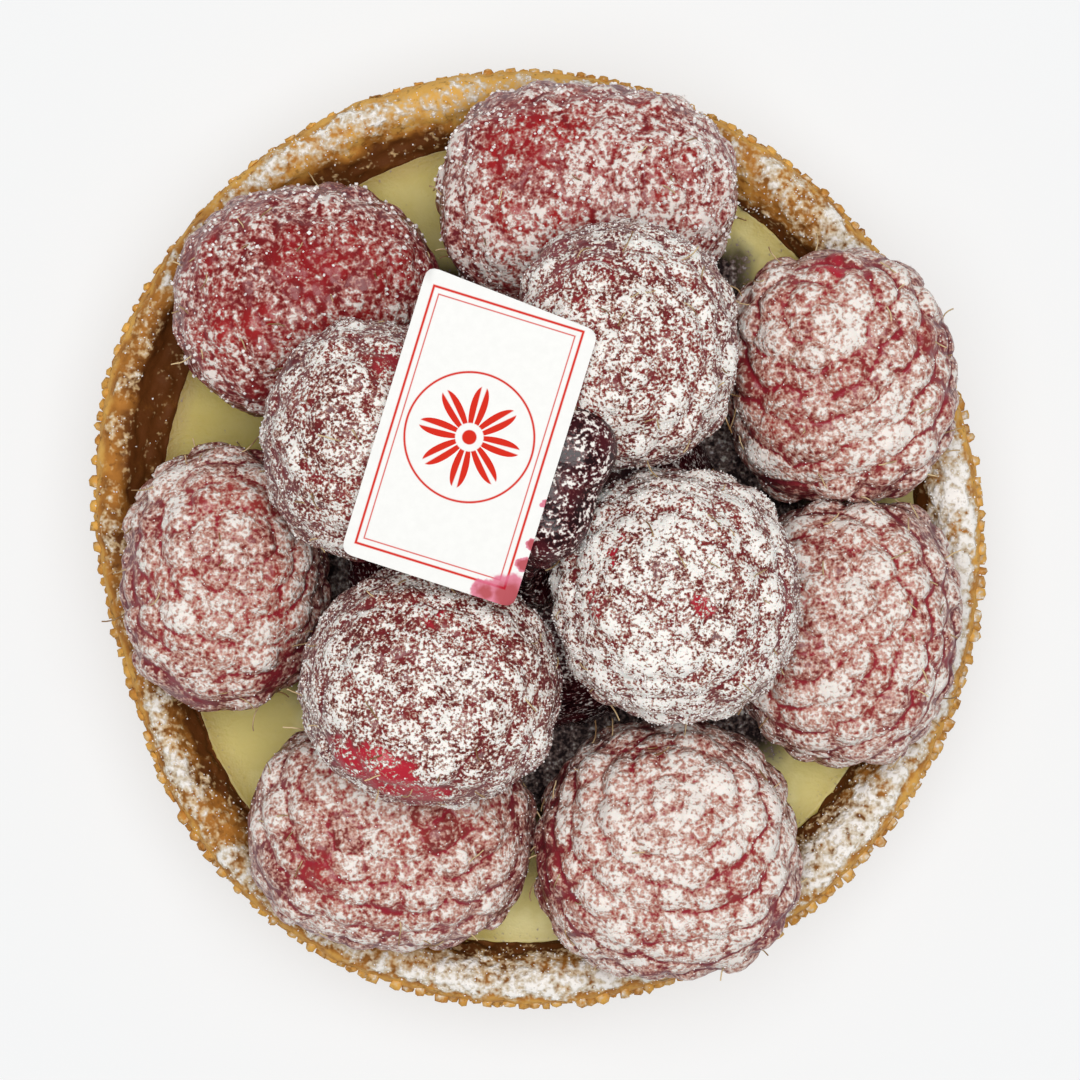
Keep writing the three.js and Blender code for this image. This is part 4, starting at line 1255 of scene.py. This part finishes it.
# %% Juice in the paper
JUICE_PALE, JUICE_DEEP = paint(218, 112, 140), paint(176, 8, 42)
STAINS = [  # across the card, up it, and how far the juice crept
    (6.9, -11.4, 2.1), (5.0, -11.7, 1.2), (7.35, -8.6, 0.7), (7.5, -6.8, 0.5), (7.5, -3.2, 0.45),
]
CREEP = 1.6  # how far the stains' edges wander
place = object_place(card_finish)
creep = noise_of(card_finish, place, 0.8 * MM, 3, 0.65)
closeness = None
for across_at, up_at, reach_at in STAINS:
    off_x, off_y = card_sum("SUBTRACT", across, across_at), card_sum("SUBTRACT", upward, up_at)
    off = card_sum("SUBTRACT", distance(off_x, off_y), CREEP / 2)
    wandering = card_sum("MULTIPLY_ADD", creep, CREEP, off)
    near = card_sum("SUBTRACT", 1.0, card_sum("DIVIDE", wandering, reach_at))
    closeness = near if closeness is None else card_sum("MAXIMUM", closeness, near)
moist = spread(card_finish, closeness, 0.0, 0.22, 0.0, 0.9)
soaked = spread(card_finish, closeness, 0.20, 0.65)

# %% Ink and juice on the paper
fibre = noise_of(card_finish, place, 0.4 * MM, 3, 0.6)
paper = blend(card_finish, spread(card_finish, fibre, 0.3, 0.7), PAPER_SHADE, PAPER)
printed = blend(card_finish, inked, paper, INK)
juice = blend(card_finish, soaked, JUICE_PALE, JUICE_DEEP)
juice_stain_and_shade = blend(card_finish, moist, printed, juice)
card_finish.node_tree.links.new(juice_stain_and_shade, card_shader.inputs["Base Color"])
tooth = add_node(card_finish, "ShaderNodeBump", {"Height": fibre, "Distance": 0.02 * MM})
card_finish.node_tree.links.new(tooth.outputs["Normal"], card_shader.inputs["Normal"])
stand_for(card, card_finish, "card", "card")
select_only(card)
bpy.ops.object.shade_smooth_by_angle(angle=math.radians(30))

# %% [markdown]
# ## Hairs
# Dried styles cling to raspberries: short tan hairs between the drupelets. Each is a curve with a
# hair's thickness that starts on the skin, leans out and curls. All of them are one curve object,
# turned into a mesh at the end.

# %% Grow the hairs
HAIRS_EACH, HAIR_POINTS = 26, 7
HAIR_THICKNESS, HAIR_LENGTHS, HAIR_ROOT = 0.12, (0.9, 2.8), 0.1
HAIR_CURLS, CURL_STEP, HAIR_WANDER = (-1.0, 1.6), 0.22, 0.12
draws = np.random.default_rng(97)
hair_curve = bpy.data.curves.new("berry_hairs", "CURVE")
hair_curve.dimensions = "3D"
hair_curve.bevel_depth = HAIR_THICKNESS / 2 * MM
hair_curve.bevel_resolution = 0
hair_curve.use_fill_caps = True
for berry in berries.values():
    spots, normals = points_of(berry), normals_of(berry)
    not_under = np.flatnonzero(normals[:, 2] > -0.1)
    for index in draws.choice(not_under, HAIRS_EACH, replace=False):
        root, out = Vector(spots[index]), Vector(normals[index])
        side = Vector(draws.normal(0, 1, 3)).cross(out).normalized()
        length = draws.uniform(*HAIR_LENGTHS) * MM
        curl = draws.uniform(*HAIR_CURLS) * CURL_STEP
        heading = (out * 0.5 + side).normalized()
        spline = hair_curve.splines.new("POLY")
        spline.points.add(HAIR_POINTS - 1)
        spot = root - out * HAIR_ROOT * MM
        for point in spline.points:
            point.co = (*spot, 1)
            spot = spot + heading * length / HAIR_POINTS
            wander = Vector(draws.normal(0, HAIR_WANDER, 3))
            heading = (heading + out * curl + wander).normalized()
hairs = bpy.data.objects.new("berry_hairs", hair_curve)
bpy.context.collection.objects.link(hairs)
select_only(hairs)
bpy.ops.object.convert(target="MESH")
hairs = bpy.context.object

# %% Two-toned specks
def two_toned(name, dark, pale, roughness, size, low, high):
    """A finish for small things that drifts between two colours from place to place."""
    finish, shader = plain_finish(name, pale, roughness)
    shade = noise_of(finish, object_place(finish), size, 1)
    colour = blend(finish, spread(finish, shade, low, high), dark, pale)
    finish.node_tree.links.new(colour, shader.inputs["Base Color"])
    return finish


HAIR_DARK, HAIR_PALE = paint(136, 98, 50), paint(222, 196, 148)
hair_finish = two_toned("dried_style", HAIR_DARK, HAIR_PALE, 0.5, 1.2 * MM, 0.35, 0.65)
stand_for(hairs, hair_finish, "raspberry")

# %% [markdown]
# ## Loose sugar
# The dust of the finishes is flat, and at the berries' edges that shows. Real grains stand on the
# surface, so small eight-faced grains are copied onto the sugared points of berries and rim.

# %% Scatter the grains
STEEPEST = -0.2  # no grain holds where the skin faces further down than this
FULL_TURN = 6.3  # radians, near enough
GRAIN_BREADTHS, GRAIN_THICKNESSES = (0.6, 1), (0.5, 0.9)  # shares of its length
GRAIN_STANDS = 0.3  # share of its half length that it stands clear of the skin
bpy.ops.object.select_all(action="DESELECT")
bpy.ops.mesh.primitive_uv_sphere_add(segments=4, ring_count=2, radius=1, location=(0, 0, 0))
grain_model = bpy.context.object


def scatter_grains(name, slot, carriers, count, sizes, seed):
    """Grains on the carriers' sugared points, more where there is more sugar."""
    draws = np.random.default_rng(seed)
    spots, normals, sugar = [], [], []
    for carrier in carriers:
        spots.append(points_of(carrier))
        normals.append(normals_of(carrier))
        sugar.append(given(carrier, "sugar") * (normals[-1][:, 2] > STEEPEST))
    spots, normals = np.concatenate(spots), np.concatenate(normals)
    weights = np.concatenate(sugar).astype(float) ** 2
    chosen = draws.choice(len(spots), count, replace=False, p=weights / weights.sum())
    places = []
    for index in chosen:
        size = draws.uniform(*sizes) * MM / 2
        angle = draws.uniform(0, FULL_TURN)
        spin = Matrix.Rotation(angle, 4, Vector(draws.normal(0, 1, 3)).normalized())
        breadth, thickness = draws.uniform(*GRAIN_BREADTHS), draws.uniform(*GRAIN_THICKNESSES)
        stretch = Matrix.Diagonal((size, size * breadth, size * thickness, 1))
        at = Vector(spots[index] + normals[index] * size * GRAIN_STANDS)
        places.append(Matrix.Translation(at) @ spin @ stretch)
    stand_for(copies(name, grain_model, places), grain_finish, slot)
    bpy.ops.object.shade_flat()


# %% Grains on the berries and on the rim
GRAIN_DULL, GRAIN_BRIGHT = paint(232, 226, 222), paint(252, 251, 249)
grain_finish = two_toned("sugar_grain", GRAIN_DULL, GRAIN_BRIGHT, 0.6, 0.3 * MM, 0.3, 0.7)
high_berries = [berry for name, berry in berries.items() if name.startswith("top")]
low_berries = [berry for berry in berries.values() if berry not in high_berries]
moist_berries = [berries[name] for name in MOIST]
scatter_grains("sugar_on_low_berries", "raspberry", low_berries, 4000, (0.10, 0.22), 5)
scatter_grains("clumps_on_moist_berries", "raspberry", moist_berries, 700, (0.24, 0.52), 8)
scatter_grains("sugar_on_high_berries", "raspberry", high_berries, 7000, (0.10, 0.26), 6)
scatter_grains("sugar_on_rim", "crust", [shell], 3000, (0.10, 0.24), 7)
bpy.data.objects.remove(grain_model)

# %% [markdown]
# ## Last measurements
# Both boxes, the solids' and the dressed tart's, are printed side by side. The dressed tart
# may not grow out of its solids.

# %% Measure and finish
dressed_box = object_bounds()
as_numbers = lambda box: [[float(value) for value in corner] for corner in box]
{"solids": as_numbers(solid_box), "dressed": as_numbers(dressed_box)}
print("solids", as_numbers(solid_box), "dressed", as_numbers(dressed_box))
